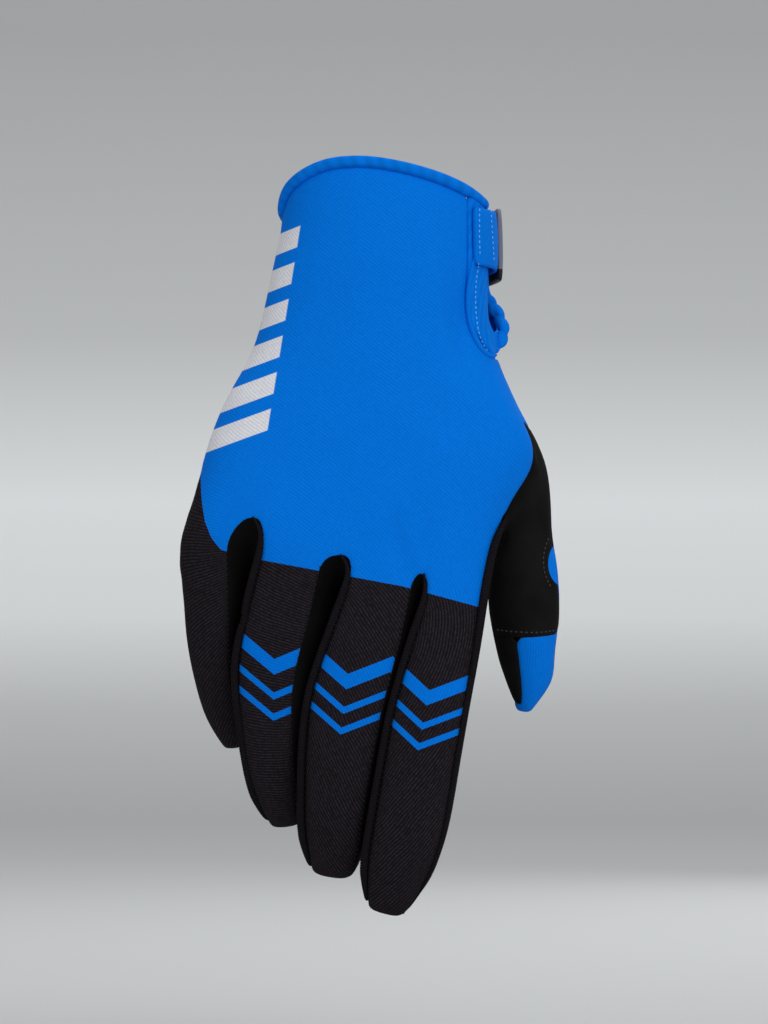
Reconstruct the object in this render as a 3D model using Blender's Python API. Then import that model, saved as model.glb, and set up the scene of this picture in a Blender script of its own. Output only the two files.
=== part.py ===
"""Racing glove for a right hand, standing open as if a hand were in it.

Units are metres, +Z up. The fingers hang down, the back of the hand faces -Y and the thumb is at +X.
The origin is the middle of the cuff's opening, level with the cuff's sides.
Run it with: blender --background --python part.py
"""

import math

import bmesh
import bpy
import numpy as np

# Driving sizes of the glove
CUFF_BREADTH = 0.066  # across the cuff's opening
CUFF_DEPTH = 0.048  # back to front at the cuff's opening
CUFF_RISE = 0.0175  # how far the cuff's back stands above its sides
PALM_BREADTH = 0.096  # across the knuckles
PALM_DEPTH = 0.040  # back to front at the ball of the thumb
PALM_LENGTH = 0.110  # from the cuff's sides to the finger roots
LITTLE_LENGTH = 0.0595  # each finger, straight down from its root to its tip seam
RING_LENGTH = 0.079
MIDDLE_LENGTH = 0.0885
INDEX_LENGTH = 0.095
FINGER_DEPTH = 0.0205  # back to front at a finger's root
THUMB_LENGTH = 0.0705  # straight down from the middle of its root to its tip seam
THUMB_DEPTH = 0.021
TIP_BULGE = 0.0025  # how far a tip is rounded beyond its last section
CLOTH = 0.0012  # wall of every panel
SEAM_GAP = 0.0003  # between any two pieces

# The cuff's slit, its bindings and its closure
SLIT_LENGTH = 0.039  # below the cuff's sides
SLIT_ROUND = 0.0075  # how far the slit's rounded end hangs below its two edges
SLIT_LOW = 0.30  # where across the slit, from its back edge, that end hangs lowest
CUFF_BAND_HEIGHT = 0.0032
SLIT_BAND_WIDTH = 0.0115
BAND_PROUD = 0.0006  # how far a binding stands outside the panel that it edges
GATHER_FLARE = 0.0062  # how far the slit's front edge flares where it is gathered
GATHER = (0.58, 0.86, 0.98, 1.24)  # where the flare starts, is full, ends and is gone, as shares of SLIT_LENGTH
RUFFLE = 0.0007
RUFFLE_COUNT = 3
STRAP_WIDTH = 0.0175
STRAP_THICKNESS = 0.0012
STRAP_TOP = 0.0022  # above the cuff's sides
STRAP_SLOPE = 0.0060  # how much lower the strap ends than it starts
PAD_THICKNESS = 0.0009
PAD_WIDTH = 0.0180
PAD_TOP = -0.0085  # above the cuff's sides
TAB_THICKNESS = 0.0015
TAB_OVERHANG = 0.0045  # how far the tab reaches below the strap

# The thumb's root in the side of the palm
THUMB_TOP = 0.066  # below the cuff's sides
THUMB_BOTTOM = 0.092
THUMB_BALL = 0.0042  # how far the ball of the thumb stands out behind its root
THUMB_BALL_HEIGHT = 0.033  # from its upper end to its lower end

# Sections of the palm, from above the cuff to below the finger roots. down is a share of PALM_LENGTH.
# cuff is 1 where the section follows the cuff's breadth and depth, and 0 where it follows the palm's.
# ulnar and radial are the two sides as shares of that breadth, back and front shares of that depth.
# square is the outline's power: 2 is an ellipse, and more is squarer.
PALM_COLUMNS = ("down", "cuff", "ulnar", "radial", "back", "front", "square")
PALM_SECTIONS = [
    (-0.20, 1.00, -0.480, 0.470, 0.50, 0.50, 2.1),
    (0.03, 0.99, -0.477, 0.474, 0.49, 0.49, 2.1),
    (0.15, 0.84, -0.487, 0.448, 0.48, 0.47, 2.2),
    (0.24, 0.66, -0.480, 0.416, 0.47, 0.46, 2.2),
    (0.32, 0.45, -0.466, 0.392, 0.47, 0.47, 2.3),
    (0.40, 0.26, -0.473, 0.394, 0.48, 0.50, 2.3),
    (0.485, 0.10, -0.508, 0.413, 0.49, 0.55, 2.4),
    (0.57, 0.01, -0.538, 0.446, 0.49, 0.60, 2.4),
    (0.65, 0.00, -0.569, 0.473, 0.48, 0.60, 2.5),
    (0.735, 0.00, -0.594, 0.454, 0.47, 0.56, 2.5),
    (0.82, 0.00, -0.623, 0.397, 0.46, 0.50, 2.6),
    (0.90, 0.00, -0.654, 0.365, 0.44, 0.42, 2.6),
    (0.985, 0.00, -0.658, 0.346, 0.42, 0.36, 2.6),
    (1.10, 0.00, -0.645, 0.324, 0.40, 0.31, 2.7),
    (1.25, 0.00, -0.625, 0.305, 0.38, 0.28, 2.7),
]

# The cuff's edge. turn is a share of the way round, from the radial side over the back; rise is a share of CUFF_RISE.
RIM_COLUMNS = ("turn", "rise")
RIM = [
    (0.00, 0.14),
    (0.06, 0.32),
    (0.11, 0.52),
    (0.18, 0.77),
    (0.25, 0.96),
    (0.29, 1.00),
    (0.34, 0.95),
    (0.40, 0.74),
    (0.46, 0.45),
    (0.50, 0.18),
    (0.56, 0.00),
    (0.75, -0.12),
    (0.94, -0.02),
    (1.00, 0.14),
]

# Where the back and the front of the glove turn into its sides, in degrees round the section
CORNER_COLUMNS = ("down", "radial_back", "radial_front", "ulnar_back", "ulnar_front")
CORNERS = [
    (-0.20, 37.0, -34.0, 160.0, 200.0),
    (0.36, 35.0, -32.0, 159.0, 201.0),
    (0.50, 20.0, -27.0, 158.0, 202.0),
    (0.60, 4.0, -25.0, 157.0, 203.0),
    (0.66, 4.0, -25.0, 157.0, 203.0),
    (0.735, 11.0, -25.0, 156.0, 204.0),
    (0.82, 19.0, -25.0, 156.0, 204.0),
    (1.00, 21.0, -24.0, 155.0, 205.0),
    (1.25, 22.0, -22.0, 155.0, 205.0),
]

# Each finger's root. start and end are its back's edges as shares across the knuckles, root_down where its middle
# lies, side its middle across, and roll how far its back turns towards the thumb, in degrees.
FINGER_COLUMNS = ("name", "length", "start", "end", "root_down", "side", "roll")
FINGERS = [
    ("little", LITTLE_LENGTH, 0.035, 0.141, 0.915, -0.566, -13.0),
    ("ring", RING_LENGTH, 0.253, 0.413, 0.957, -0.303, -14.0),
    ("middle", MIDDLE_LENGTH, 0.500, 0.715, 1.012, -0.045, -13.0),
    ("index", INDEX_LENGTH, 0.772, 0.960, 1.054, 0.203, -9.0),
]

# Down each finger. along is a share of its length, side and breadth of PALM_BREADTH, front and depth of FINGER_DEPTH;
# side and front are counted from its root, and front is how far it curls towards the palm. edge is where its back
# ends on the thumb's side, in degrees round the section.
PATH_COLUMNS = ("along", "side", "front", "breadth", "depth", "edge")
FINGER_PATHS = {
    "little": [
        (0.00, 0.000, 0.12, 0.184, 1.00, 50.0),
        (0.25, 0.015, 0.42, 0.183, 0.93, 50.0),
        (0.50, 0.025, 0.80, 0.172, 0.85, 49.0),
        (0.75, 0.048, 1.22, 0.150, 0.76, 48.0),
        (0.90, 0.065, 1.50, 0.126, 0.64, 42.0),
        (1.00, 0.085, 1.67, 0.082, 0.46, 36.0),
    ],
    "ring": [
        (0.00, 0.000, 0.06, 0.252, 1.00, 60.0),
        (0.25, -0.032, 0.28, 0.262, 0.96, 56.0),
        (0.51, -0.050, 0.58, 0.238, 0.88, 57.0),
        (0.77, -0.047, 1.00, 0.190, 0.80, 43.0),
        (0.92, -0.032, 1.30, 0.156, 0.66, 36.0),
        (1.00, -0.013, 1.46, 0.112, 0.48, 34.0),
    ],
    "middle": [
        (0.00, 0.000, 0.00, 0.264, 1.00, 36.0),
        (0.25, -0.039, 0.12, 0.268, 0.98, 30.0),
        (0.51, -0.083, 0.36, 0.254, 0.90, 28.0),
        (0.77, -0.104, 0.76, 0.226, 0.82, 40.0),
        (0.92, -0.114, 1.10, 0.200, 0.68, 38.0),
        (1.00, -0.119, 1.26, 0.146, 0.48, 36.0),
    ],
    "index": [
        (0.00, 0.000, 0.00, 0.238, 1.00, 37.0),
        (0.26, -0.044, 0.08, 0.246, 0.98, 26.0),
        (0.51, -0.085, 0.27, 0.249, 0.90, 24.0),
        (0.78, -0.134, 0.60, 0.247, 0.82, 24.0),
        (0.93, -0.179, 0.90, 0.198, 0.66, 26.0),
        (1.00, -0.195, 1.06, 0.134, 0.48, 30.0),
    ],
}
FINGER_SQUARE = 2.8
FINGER_CORNER = 34.0  # where a finger's back turns into its side, in degrees round its section
FINGER_CENTRE = -0.10  # the finger roots' middle, a share of PALM_DEPTH from the glove's middle
FINGER_BLEND = 0.45  # the share of a finger over which its root's outline fades out

# Between the fingers, from the little finger's side to the thumb's: how far down the glove's back and front reach
# there, as shares of PALM_LENGTH, how far the notch's end is rounded and where across it the crease between the two
# fingers lies, as shares of its breadth, and how many columns cross it
WEB_COLUMNS = ("back_down", "front_down", "rounding", "crease", "columns")
WEBS = [
    (0.904, 1.060, 0.68, 0.70, 4),
    (0.979, 1.090, 0.48, 0.78, 4),
    (1.023, 1.112, 0.60, 0.62, 3),
]
WEB_NARROW = (1.0, 0.55, 0.34, 0.34, 0.34)  # its breadth from the glove's back to its front, a share of the notch's
ULNAR_END = (0.887, 0.985)  # the same at the glove's two sides
RADIAL_END = (1.084, 1.130)
WEB_SAG = 0.0020
WEB_LEAN = 0.0042  # how much nearer the thumb's side each crease lies on the palm than on the back

# Down the thumb, as for the fingers, with side and front counted from the glove's side and middle at the thumb's
# root. edge is where the patch over its back ends on its outer side, in degrees round the section.
THUMB_PATH = [
    (0.00, 0.004, 0.20, 0.146, 0.95, -8.0),
    (0.15, 0.003, 0.33, 0.150, 0.96, -8.0),
    (0.265, -0.002, 0.39, 0.170, 0.97, -4.0),
    (0.345, -0.006, 0.41, 0.196, 0.98, 20.0),
    (0.43, -0.009, 0.43, 0.219, 0.97, 18.0),
    (0.50, -0.011, 0.44, 0.230, 0.96, -2.0),
    (0.61, -0.008, 0.46, 0.228, 0.94, -12.0),
    (0.71, -0.007, 0.48, 0.200, 0.88, -14.0),
    (0.85, 0.003, 0.51, 0.168, 0.76, -14.0),
    (0.95, -0.001, 0.54, 0.114, 0.60, -14.0),
    (1.00, -0.007, 0.55, 0.070, 0.44, -14.0),
]
THUMB_SQUARE = 2.2
THUMB_BLEND = 0.36
THUMB_ROOT_SHARE = 0.735  # the share of PALM_LENGTH at which the glove's side is taken
PATCH_HEM = 0.695  # where the patch is hemmed, a share of the thumb's length
PATCH_INNER = 172.0  # where it ends on the thumb's inner side, in degrees round the section
THUMB_SEAM = 105.0  # where the thumb's cloth meets its suede below the patch, in degrees round the section
THUMB_ROW = 0.0066  # about the length of one row on the thumb

# Soft folds and hollows. face is 1 on the glove's back and -1 on its palm; across is a share of PALM_BREADTH and down
# of PALM_LENGTH; lean is the fold's turn from upright towards the thumb, in degrees; deep is negative for a ridge.
FOLD_COLUMNS = ("face", "across", "down", "lean", "long", "wide", "deep")
FOLDS = [
    (1, 0.085, 0.880, -16.0, 0.020, 0.0045, 0.0012),
    (1, 0.235, 0.310, 8.0, 0.017, 0.0060, 0.0016),
    (1, -0.120, 0.800, -20.0, 0.022, 0.0090, 0.0009),
    (1, 0.040, 0.420, 70.0, 0.024, 0.0080, 0.0007),
    (1, 0.240, 0.560, -58.0, 0.020, 0.0080, 0.0012),
    (-1, 0.080, 0.640, 24.0, 0.026, 0.0060, 0.0022),
    (-1, -0.180, 0.760, 82.0, 0.026, 0.0055, 0.0016),
    (-1, -0.080, 0.340, 84.0, 0.022, 0.0065, 0.0014),
]

# How finely the panels are divided
FINGER_BACK = 4  # columns across a finger's back
SIDE = 4  # columns across a finger's side
SLIT_ROWS = 7
ROWS_TO_THUMB = 3
THUMB_ROWS = 5
ROWS_BELOW_THUMB = 3
THUMB_FRONT_COLUMNS = 2  # how many of the palm's columns the thumb's root takes
CROOK_REACH = 0.024  # how far around the thumb's crook, and around each web, the cloth is evened out
WEB_REACH = 0.013
CROOK_ROUNDS = 8
TUBE_ROW = 0.0085  # about the length of one row on a finger

COLLECTION = "racing_glove"


def clear_scene():
    for thing in list(bpy.data.objects):
        bpy.data.objects.remove(thing, do_unlink=True)


def column(table, names, name):
    return np.array([row[names.index(name)] for row in table], float)


def through(stations, values, at):
    """A smooth curve through the values at the stations."""
    at = np.clip(at, stations[0], stations[-1])
    slope = np.empty_like(values)
    slope[1:-1] = (values[2:] - values[:-2]) / (stations[2:] - stations[:-2])
    slope[0] = (values[1] - values[0]) / (stations[1] - stations[0])
    slope[-1] = (values[-1] - values[-2]) / (stations[-1] - stations[-2])
    i = np.clip(np.searchsorted(stations, at, side="right") - 1, 0, len(stations) - 2)
    step = stations[i + 1] - stations[i]
    t = (at - stations[i]) / step
    return (
        (2 * t**3 - 3 * t**2 + 1) * values[i]
        + (t**3 - 2 * t**2 + t) * step * slope[i]
        + (-2 * t**3 + 3 * t**2) * values[i + 1]
        + (t**3 - t**2) * step * slope[i + 1]
    )


def read(table, names, name, at):
    """One named column of a table, at a place given by its first column."""
    return float(through(column(table, names, names[0]), column(table, names, name), at))


def smooth(t):
    t = min(1.0, max(0.0, t))
    return t * t * (3 - 2 * t)


def unit(v):
    return v / np.linalg.norm(v)


def power(c, exponent):
    return math.copysign(abs(c) ** exponent, c)


def palm_point(angle, z):
    """A point on the palm's surface, angle degrees round from the thumb's side over the back, at height z."""
    down = -z / PALM_LENGTH
    section = {name: read(PALM_SECTIONS, PALM_COLUMNS, name, down) for name in PALM_COLUMNS[1:]}
    cuff = section["cuff"]
    breadth = cuff * CUFF_BREADTH + (1 - cuff) * PALM_BREADTH
    depth = cuff * CUFF_DEPTH + (1 - cuff) * PALM_DEPTH
    middle = (section["radial"] + section["ulnar"]) / 2 * breadth
    half = (section["radial"] - section["ulnar"]) / 2 * breadth
    c, s = math.cos(math.radians(angle)), math.sin(math.radians(angle))
    reach = section["back"] if s > 0 else section["front"]
    root = 2 / section["square"]
    return np.array([middle + half * power(c, root), -reach * depth * power(s, root), z])


def palm_normal(angle, z):
    """The direction straight out of the palm's surface."""
    turn, drop = 2.0, 0.002
    around = palm_point(angle + turn, z) - palm_point(angle - turn, z)
    down = palm_point(angle, z - drop) - palm_point(angle, z + drop)
    return unit(np.cross(around, down))


def over_palm(angle, z, lift):
    return palm_point(angle, z) + lift * palm_normal(angle, z)


def angle_across(share):
    """The angle of a point on the back that lies this share of the way across the knuckles."""
    t = 2 * share - 1
    square = read(PALM_SECTIONS, PALM_COLUMNS, "square", 1.0)
    return math.degrees(math.acos(power(t, square / 2)))


def corner(name, z):
    return read(CORNERS, CORNER_COLUMNS, name, -z / PALM_LENGTH)


def rim_height(angle):
    return CUFF_RISE * read(RIM, RIM_COLUMNS, "rise", (angle % 360) / 360)


def slit_end(s):
    """How far below its edges the slit's end hangs, s of the way across from its back edge, from 0 to 1."""
    if s < SLIT_LOW:
        return math.sqrt(1 - (1 - s / SLIT_LOW) ** 2)
    return (1 - s) / (1 - SLIT_LOW)


def round_end(s, rounding, breadth):
    """How far above its corners an opening's round end lies, s of the way across it."""
    return rounding * breadth * math.sqrt(max(0.0, 1 - (2 * s - 1) ** 2))


def back_columns():
    """The columns across the glove's back at the finger roots: an angle and a height for each."""
    columns = []
    heights = [ULNAR_END[0]] + [web[0] for web in WEBS] + [RADIAL_END[0]]
    for f, finger in enumerate(FINGERS):
        start, end = finger[2], finger[3]
        for i in range(FINGER_BACK + (f == len(FINGERS) - 1)):
            t = i / FINGER_BACK
            share = start + (end - start) * t
            columns.append((share, -PALM_LENGTH * (heights[f] + (heights[f + 1] - heights[f]) * t)))
        if f < len(WEBS):
            count = WEBS[f][4]
            gap = FINGERS[f + 1][2] - end
            for i in range(count):
                s = i / count
                rise = round_end(s, WEBS[f][2], gap * PALM_BREADTH)
                columns.append((end + gap * s, -PALM_LENGTH * WEBS[f][0] + rise))
    return columns


def front_columns():
    """The same columns on the palm's front, where the notches between the fingers are narrower."""
    lean = WEB_LEAN / PALM_BREADTH
    creases = [
        finger[3] + (FINGERS[f + 1][2] - finger[3]) * WEBS[f][3] + lean for f, finger in enumerate(FINGERS[:-1])
    ]
    places = [0.0] + creases + [1.0]
    downs = [ULNAR_END[1]] + [web[1] for web in WEBS] + [RADIAL_END[1]]
    columns = []
    start = FINGERS[0][2]
    for f, finger in enumerate(FINGERS):
        last = f == len(FINGERS) - 1
        gap = 0.0 if last else (FINGERS[f + 1][2] - finger[3]) * WEB_NARROW[-1]
        end = finger[3] if last else creases[f] - gap * WEBS[f][3]
        shares = [start + (end - start) * i / FINGER_BACK for i in range(FINGER_BACK + last)]
        if not last:
            shares += [end + gap * i / WEBS[f][4] for i in range(WEBS[f][4])]
            start = end + gap
        columns += [(share, -PALM_LENGTH * float(np.interp(share, places, downs))) for share in shares]
    return columns


def fold_depth(place, face):
    """How far the folds press the surface in at this place."""
    depth = 0.0
    for side, across, down, lean, long, wide, deep in FOLDS:
        if side != face:
            continue
        x, z = place[0] - across * PALM_BREADTH, place[2] + down * PALM_LENGTH
        c, s = math.cos(math.radians(lean)), math.sin(math.radians(lean))
        u, v = x * s + z * c, x * c - z * s
        depth += deep * math.exp(-((u / long) ** 2) - (v / wide) ** 2)
    return depth


class Surface:
    """The glove's outer surface: points, and four-sided faces that each name their panel."""

    def __init__(self):
        self.points = []
        self.faces = []

    def point(self, place):
        self.points.append(np.asarray(place, float))
        return len(self.points) - 1

    def face(self, panel, *corners):
        self.faces.append((panel, corners))

    def tube(self, upper, lower, panels):
        """One row of faces between two rings of points."""
        count = len(upper)
        for i in range(count):
            j = (i + 1) % count
            self.face(panels[i], upper[i], lower[i], lower[j], upper[j])

    def cap(self, ring, across, along, direction, bulge, panel_at):
        """Closes a ring with a rounded grid. The ring runs across, then along, then back again."""
        place = [self.points[i] for i in ring]
        count = len(ring)

        def edge(i, j):
            if j == 0:
                return i
            if i == across:
                return across + j
            if j == along:
                return 2 * across + along - i
            return (count - j) % count

        grid = {}
        for i in range(across + 1):
            for j in range(along + 1):
                if i in (0, across) or j in (0, along):
                    grid[i, j] = ring[edge(i, j)]
                    continue
                u, v = i / across, j / along
                p = (
                    (1 - v) * place[edge(i, 0)]
                    + v * place[edge(i, along)]
                    + (1 - u) * place[edge(0, j)]
                    + u * place[edge(across, j)]
                    - (1 - u) * (1 - v) * place[edge(0, 0)]
                    - u * (1 - v) * place[edge(across, 0)]
                    - (1 - u) * v * place[edge(0, along)]
                    - u * v * place[edge(across, along)]
                )
                crown = (1 - (2 * u - 1) ** 4) * (1 - (2 * v - 1) ** 4)
                grid[i, j] = self.point(p + bulge * crown * direction)
        for i in range(across):
            for j in range(along):
                self.face(panel_at(i, j), grid[i, j], grid[i, j + 1], grid[i + 1, j + 1], grid[i + 1, j])


def ring_place(centre, out, back, breadth, depth, square, angle, roll=0.0):
    """A point on a finger's or the thumb's section."""
    c, s = math.cos(math.radians(angle)), math.sin(math.radians(angle))
    x = breadth / 2 * power(c, 2 / square)
    y = depth / 2 * power(s, 2 / square)
    turn = math.radians(roll)
    x, y = x * math.cos(turn) + y * math.sin(turn), y * math.cos(turn) - x * math.sin(turn)
    return centre + x * out + y * back


def frame_along(path, along):
    """The middle, the direction, the side and the back of a finger or the thumb."""
    step = 0.01
    direction = unit(path(min(1.0, along + step)) - path(max(0.0, along - step)))
    out = np.array([1.0, 0.0, 0.0])
    out = unit(out - np.dot(out, direction) * direction)
    return path(along), direction, out, unit(np.cross(out, direction)) * -1


def build_palm(surface):
    """The palm's rows from the cuff to the finger roots. It returns the rows and where each part of a row begins."""
    back, front = back_columns(), front_columns()[::-1]
    back_angles = [angle_across(share) for share, _ in back]
    front_angles = [angle_across(share) for share, _ in front]
    back_heights = [z for _, z in back]
    front_heights = [z for _, z in front]
    count = len(back)
    last = count - 1
    radial_middle = (back_heights[-1] + front_heights[0]) / 2

    def column_angle(place, z_share, z):
        """place runs over the back, the thumb's side, the front and the little finger's side."""
        r_back, r_front = corner("radial_back", z), corner("radial_front", z)
        u_back, u_front = corner("ulnar_back", z), corner("ulnar_front", z) - 360
        part, t = place
        if part == "back":
            even = u_back + (r_back - u_back) * t / last
            share = (back_angles[t] - back_angles[0]) / (back_angles[last] - back_angles[0])
            rooted = u_back + (r_back - u_back) * share
            return even + (rooted - even) * smooth(z_share)
        if part == "radial":
            return r_back + (r_front - r_back) * t / SIDE
        if part == "front":
            even = r_front + (u_front - r_front) * t / last
            share = (front_angles[t] - front_angles[0]) / (front_angles[last] - front_angles[0])
            rooted = r_front + (u_front - r_front) * share
            return even + (rooted - even) * smooth(z_share)
        return u_front + (u_back - 360 - u_front) * t / SIDE

    places = [("back", t) for t in range(count)]
    places += [("radial", t) for t in range(1, SIDE)]
    places += [("front", t) for t in range(count)]
    places += [("ulnar", t) for t in range(1, SIDE)]

    def root_height(place):
        part, t = place
        if part == "back":
            return back_heights[t]
        if part == "front":
            return front_heights[t]
        ends = (back_heights[-1], front_heights[0]) if part == "radial" else (front_heights[-1], back_heights[0])
        return ends[0] + (ends[1] - ends[0]) * t / SIDE

    side_top = rim_height(0) - CUFF_BAND_HEIGHT
    tall = side_top - radial_middle
    marks = [0.0] + [(side_top + depth) / tall for depth in (SLIT_LENGTH, THUMB_TOP, THUMB_BOTTOM)] + [1.0]
    counts = (SLIT_ROWS, ROWS_TO_THUMB, THUMB_ROWS, ROWS_BELOW_THUMB)
    shares = [0.0]
    for low, high, n in zip(marks[:-1], marks[1:], counts):
        shares += [low + (high - low) * (i + 1) / n for i in range(n)]

    rows = []
    for r, share in enumerate(shares):
        row = []
        for place in places:
            part, t = place
            if part == "radial" and r < SLIT_ROWS:
                row.append(None)
                continue
            guess = rim_height(column_angle(place, 0.0, 0.0)) - CUFF_BAND_HEIGHT
            z = guess + (root_height(place) - guess) * share
            if part == "radial" and r == SLIT_ROWS:
                z -= SLIT_ROUND * slit_end(t / SIDE)
            angle = column_angle(place, share, z)
            face = 1 if math.sin(math.radians(angle)) > 0 else -1
            point = palm_point(angle, z)
            row.append(surface.point(point - fold_depth(point, face) * palm_normal(angle, z)))
        rows.append(row)
    return rows, count


def palm_faces(surface, rows, count):
    """The palm's faces, leaving out the slit and the thumb's root. It returns the root's ring of points."""
    thumb_first = SLIT_ROWS + ROWS_TO_THUMB
    thumb_last = thumb_first + THUMB_ROWS
    edge = count - 1
    thumb_end = edge + SIDE + THUMB_FRONT_COLUMNS
    width = len(rows[0])
    front_start = edge + SIDE
    front_end = front_start + count - 1
    for r in range(len(rows) - 1):
        for i in range(width):
            j = (i + 1) % width
            in_slit = r < SLIT_ROWS and edge <= i < front_start
            in_thumb = thumb_first <= r < thumb_last and edge <= i < thumb_end
            if in_slit or in_thumb:
                continue
            if i < edge or i >= front_end + SIDE // 2:
                panel = "back_panel"
            elif i < edge + SIDE // 2 and r < thumb_first:
                panel = "back_panel"
            else:
                panel = "palm_panel"
            surface.face(panel, rows[r][i], rows[r + 1][i], rows[r + 1][j], rows[r][j])
    ring = [rows[thumb_first][i] for i in range(edge, thumb_end)]
    ring += [rows[r][thumb_end] for r in range(thumb_first, thumb_last)]
    ring += [rows[thumb_last][i] for i in range(thumb_end, edge, -1)]
    ring += [rows[r][edge] for r in range(thumb_last, thumb_first, -1)]
    return ring


def build_webs(surface, last_row, count):
    """The strip of the fourchette between each two fingers. It returns, for each web, its two side edges."""
    front_start = count - 1 + SIDE
    edges = []
    start = FINGER_BACK
    for w, (_, _, rounding, crease, columns) in enumerate(WEBS):
        backs = [last_row[start + s] for s in range(columns + 1)]
        fronts = [last_row[front_start + (count - 1) - (start + s)] for s in range(columns + 1)]
        valley = [
            surface.points[edge[0]] * (1 - crease) + surface.points[edge[-1]] * crease for edge in (backs, fronts)
        ]
        breadth = (FINGERS[w + 1][2] - FINGERS[w][3]) * PALM_BREADTH
        lines = []
        for s in range(columns + 1):
            line = [backs[s]]
            for k in range(1, SIDE):
                t = k / SIDE
                middle = valley[0] * (1 - t) + valley[1] * t
                across = (s / columns - crease) * breadth * WEB_NARROW[k]
                rise = round_end(s / columns, rounding, breadth) * WEB_NARROW[k] - WEB_SAG * math.sin(math.pi * t)
                line.append(surface.point(middle + np.array([across, 0.0, rise])))
            lines.append(line + [fronts[s]])
        panel = f"fourchette_{FINGERS[w][0]}_{FINGERS[w + 1][0]}"
        for s in range(columns):
            for k in range(SIDE):
                a, b = lines[s], lines[s + 1]
                surface.face(panel, a[k], a[k + 1], b[k + 1], b[k])
        edges.append((lines[0], lines[-1]))
        start += columns + FINGER_BACK
    return edges


def finger_path(name, length, root_down, side):
    table = FINGER_PATHS[name]

    def path(along):
        x = side + read(table, PATH_COLUMNS, "side", along)
        y = FINGER_CENTRE * PALM_DEPTH + read(table, PATH_COLUMNS, "front", along) * FINGER_DEPTH
        return np.array([x * PALM_BREADTH, y, -root_down * PALM_LENGTH - along * length])

    return path


def spread(spans):
    """Angles spread over some spans, each given by its two ends and its number of columns."""
    return [a + (b - a) * i / n for a, b, n in spans for i in range(n)]


def finger_angles(edge):
    c = FINGER_CORNER
    return spread(
        ((180 - c, edge, FINGER_BACK), (edge, -c, SIDE), (-c, c - 180, FINGER_BACK), (c - 180, -180 - c, SIDE))
    )


def thumb_angles(edge):
    turn = max(48.0, edge + 12)
    across = SIDE + THUMB_FRONT_COLUMNS
    return spread(
        (
            (turn, edge, 2),
            (edge, -45, across - 2),
            (-45, -135, THUMB_ROWS),
            (-135, PATCH_INNER - 360, across - 2),
            (PATCH_INNER - 360, 145 - 360, 2),
            (145 - 360, THUMB_SEAM - 360, 2),
            (THUMB_SEAM - 360, turn - 360, THUMB_ROWS - 2),
        )
    )


def tube_ring(path, table, along, angles, depth_unit, square, roll):
    centre, _, out, back = frame_along(path, along)
    breadth = read(table, PATH_COLUMNS, "breadth", along) * PALM_BREADTH
    depth = read(table, PATH_COLUMNS, "depth", along) * depth_unit
    edge = read(table, PATH_COLUMNS, "edge", along)
    return [ring_place(centre, out, back, breadth, depth, square, a, roll) for a in angles(edge)]


def grow_tube(surface, root, path, table, angles, length, blend, depth_unit, square, roll, panels, hem=None):
    """Rows from a root's own outline to the last section of a finger or the thumb. It returns the last ring.

    With a hem, panels holds the names above and below it.
    """
    count = max(6, round(length / (THUMB_ROW if hem else TUBE_ROW)))
    stops = [i / count for i in range(1, count + 1)]
    if hem:
        above = max(3, round(count * hem))
        stops = [hem * (i + 1) / above for i in range(above)]
        stops += [hem + (1 - hem) * (i + 1) / (count - above) for i in range(count - above)]
    first = tube_ring(path, table, 0.0, angles, depth_unit, square, roll)
    offsets = [surface.points[i] - p for i, p in zip(root, first)]
    upper = root
    for along in stops:
        fade = 1 - smooth(along / blend)
        ring = tube_ring(path, table, along, angles, depth_unit, square, roll)
        lower = [surface.point(p + fade * o) for p, o in zip(ring, offsets)]
        if hem:
            surface.tube(upper, lower, panels[0] if along < hem + 1e-6 else panels[1])
        else:
            surface.tube(upper, lower, panels)
        upper = lower
    return upper


def build_fingers(surface, last_row, count, web_edges):
    front_start = count - 1 + SIDE
    front_end = front_start + count - 1
    start = 0
    for f, (name, length, _, _, root_down, side, roll) in enumerate(FINGERS):
        first, last = f == 0, f == len(FINGERS) - 1
        back = [last_row[start + i] for i in range(FINGER_BACK + 1)]
        front = [last_row[front_start + (count - 1) - (start + i)] for i in range(FINGER_BACK, -1, -1)]
        if last:
            out_side = [last_row[count - 1 + k] for k in range(1, SIDE)]
        else:
            out_side = web_edges[f][0][1:-1]
        if first:
            in_side = [last_row[front_end + k] for k in range(1, SIDE)]
        else:
            in_side = list(reversed(web_edges[f - 1][1][1:-1]))
        root = back + out_side + front + in_side
        out_panel = "palm_panel" if last else f"fourchette_{name}_{FINGERS[f + 1][0]}"
        in_panel = f"fourchette_{FINGERS[f - 1][0]}_{name}"
        panels = ["back_panel"] * FINGER_BACK + [out_panel] * SIDE + ["palm_panel"] * FINGER_BACK
        panels += ["palm_panel"] * (SIDE // 2) + ["back_panel"] * (SIDE // 2) if first else [in_panel] * SIDE
        path = finger_path(name, length, root_down, side)
        table = FINGER_PATHS[name]
        ring = grow_tube(
            surface, root, path, table, finger_angles, length, FINGER_BLEND, FINGER_DEPTH, FINGER_SQUARE, roll, panels
        )
        direction = frame_along(path, 1.0)[1]
        surface.cap(ring, FINGER_BACK, SIDE, direction, TIP_BULGE, lambda i, j: "back_panel")
        if not last:
            start += FINGER_BACK + WEBS[f][4]


def thumb_path(along):
    edge = palm_point(0.0, -THUMB_ROOT_SHARE * PALM_LENGTH)[0]
    top = -(THUMB_TOP + THUMB_BOTTOM) / 2
    x = edge + read(THUMB_PATH, PATH_COLUMNS, "side", along) * PALM_BREADTH
    y = read(THUMB_PATH, PATH_COLUMNS, "front", along) * PALM_DEPTH
    return np.array([x, y, top - along * THUMB_LENGTH])


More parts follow.
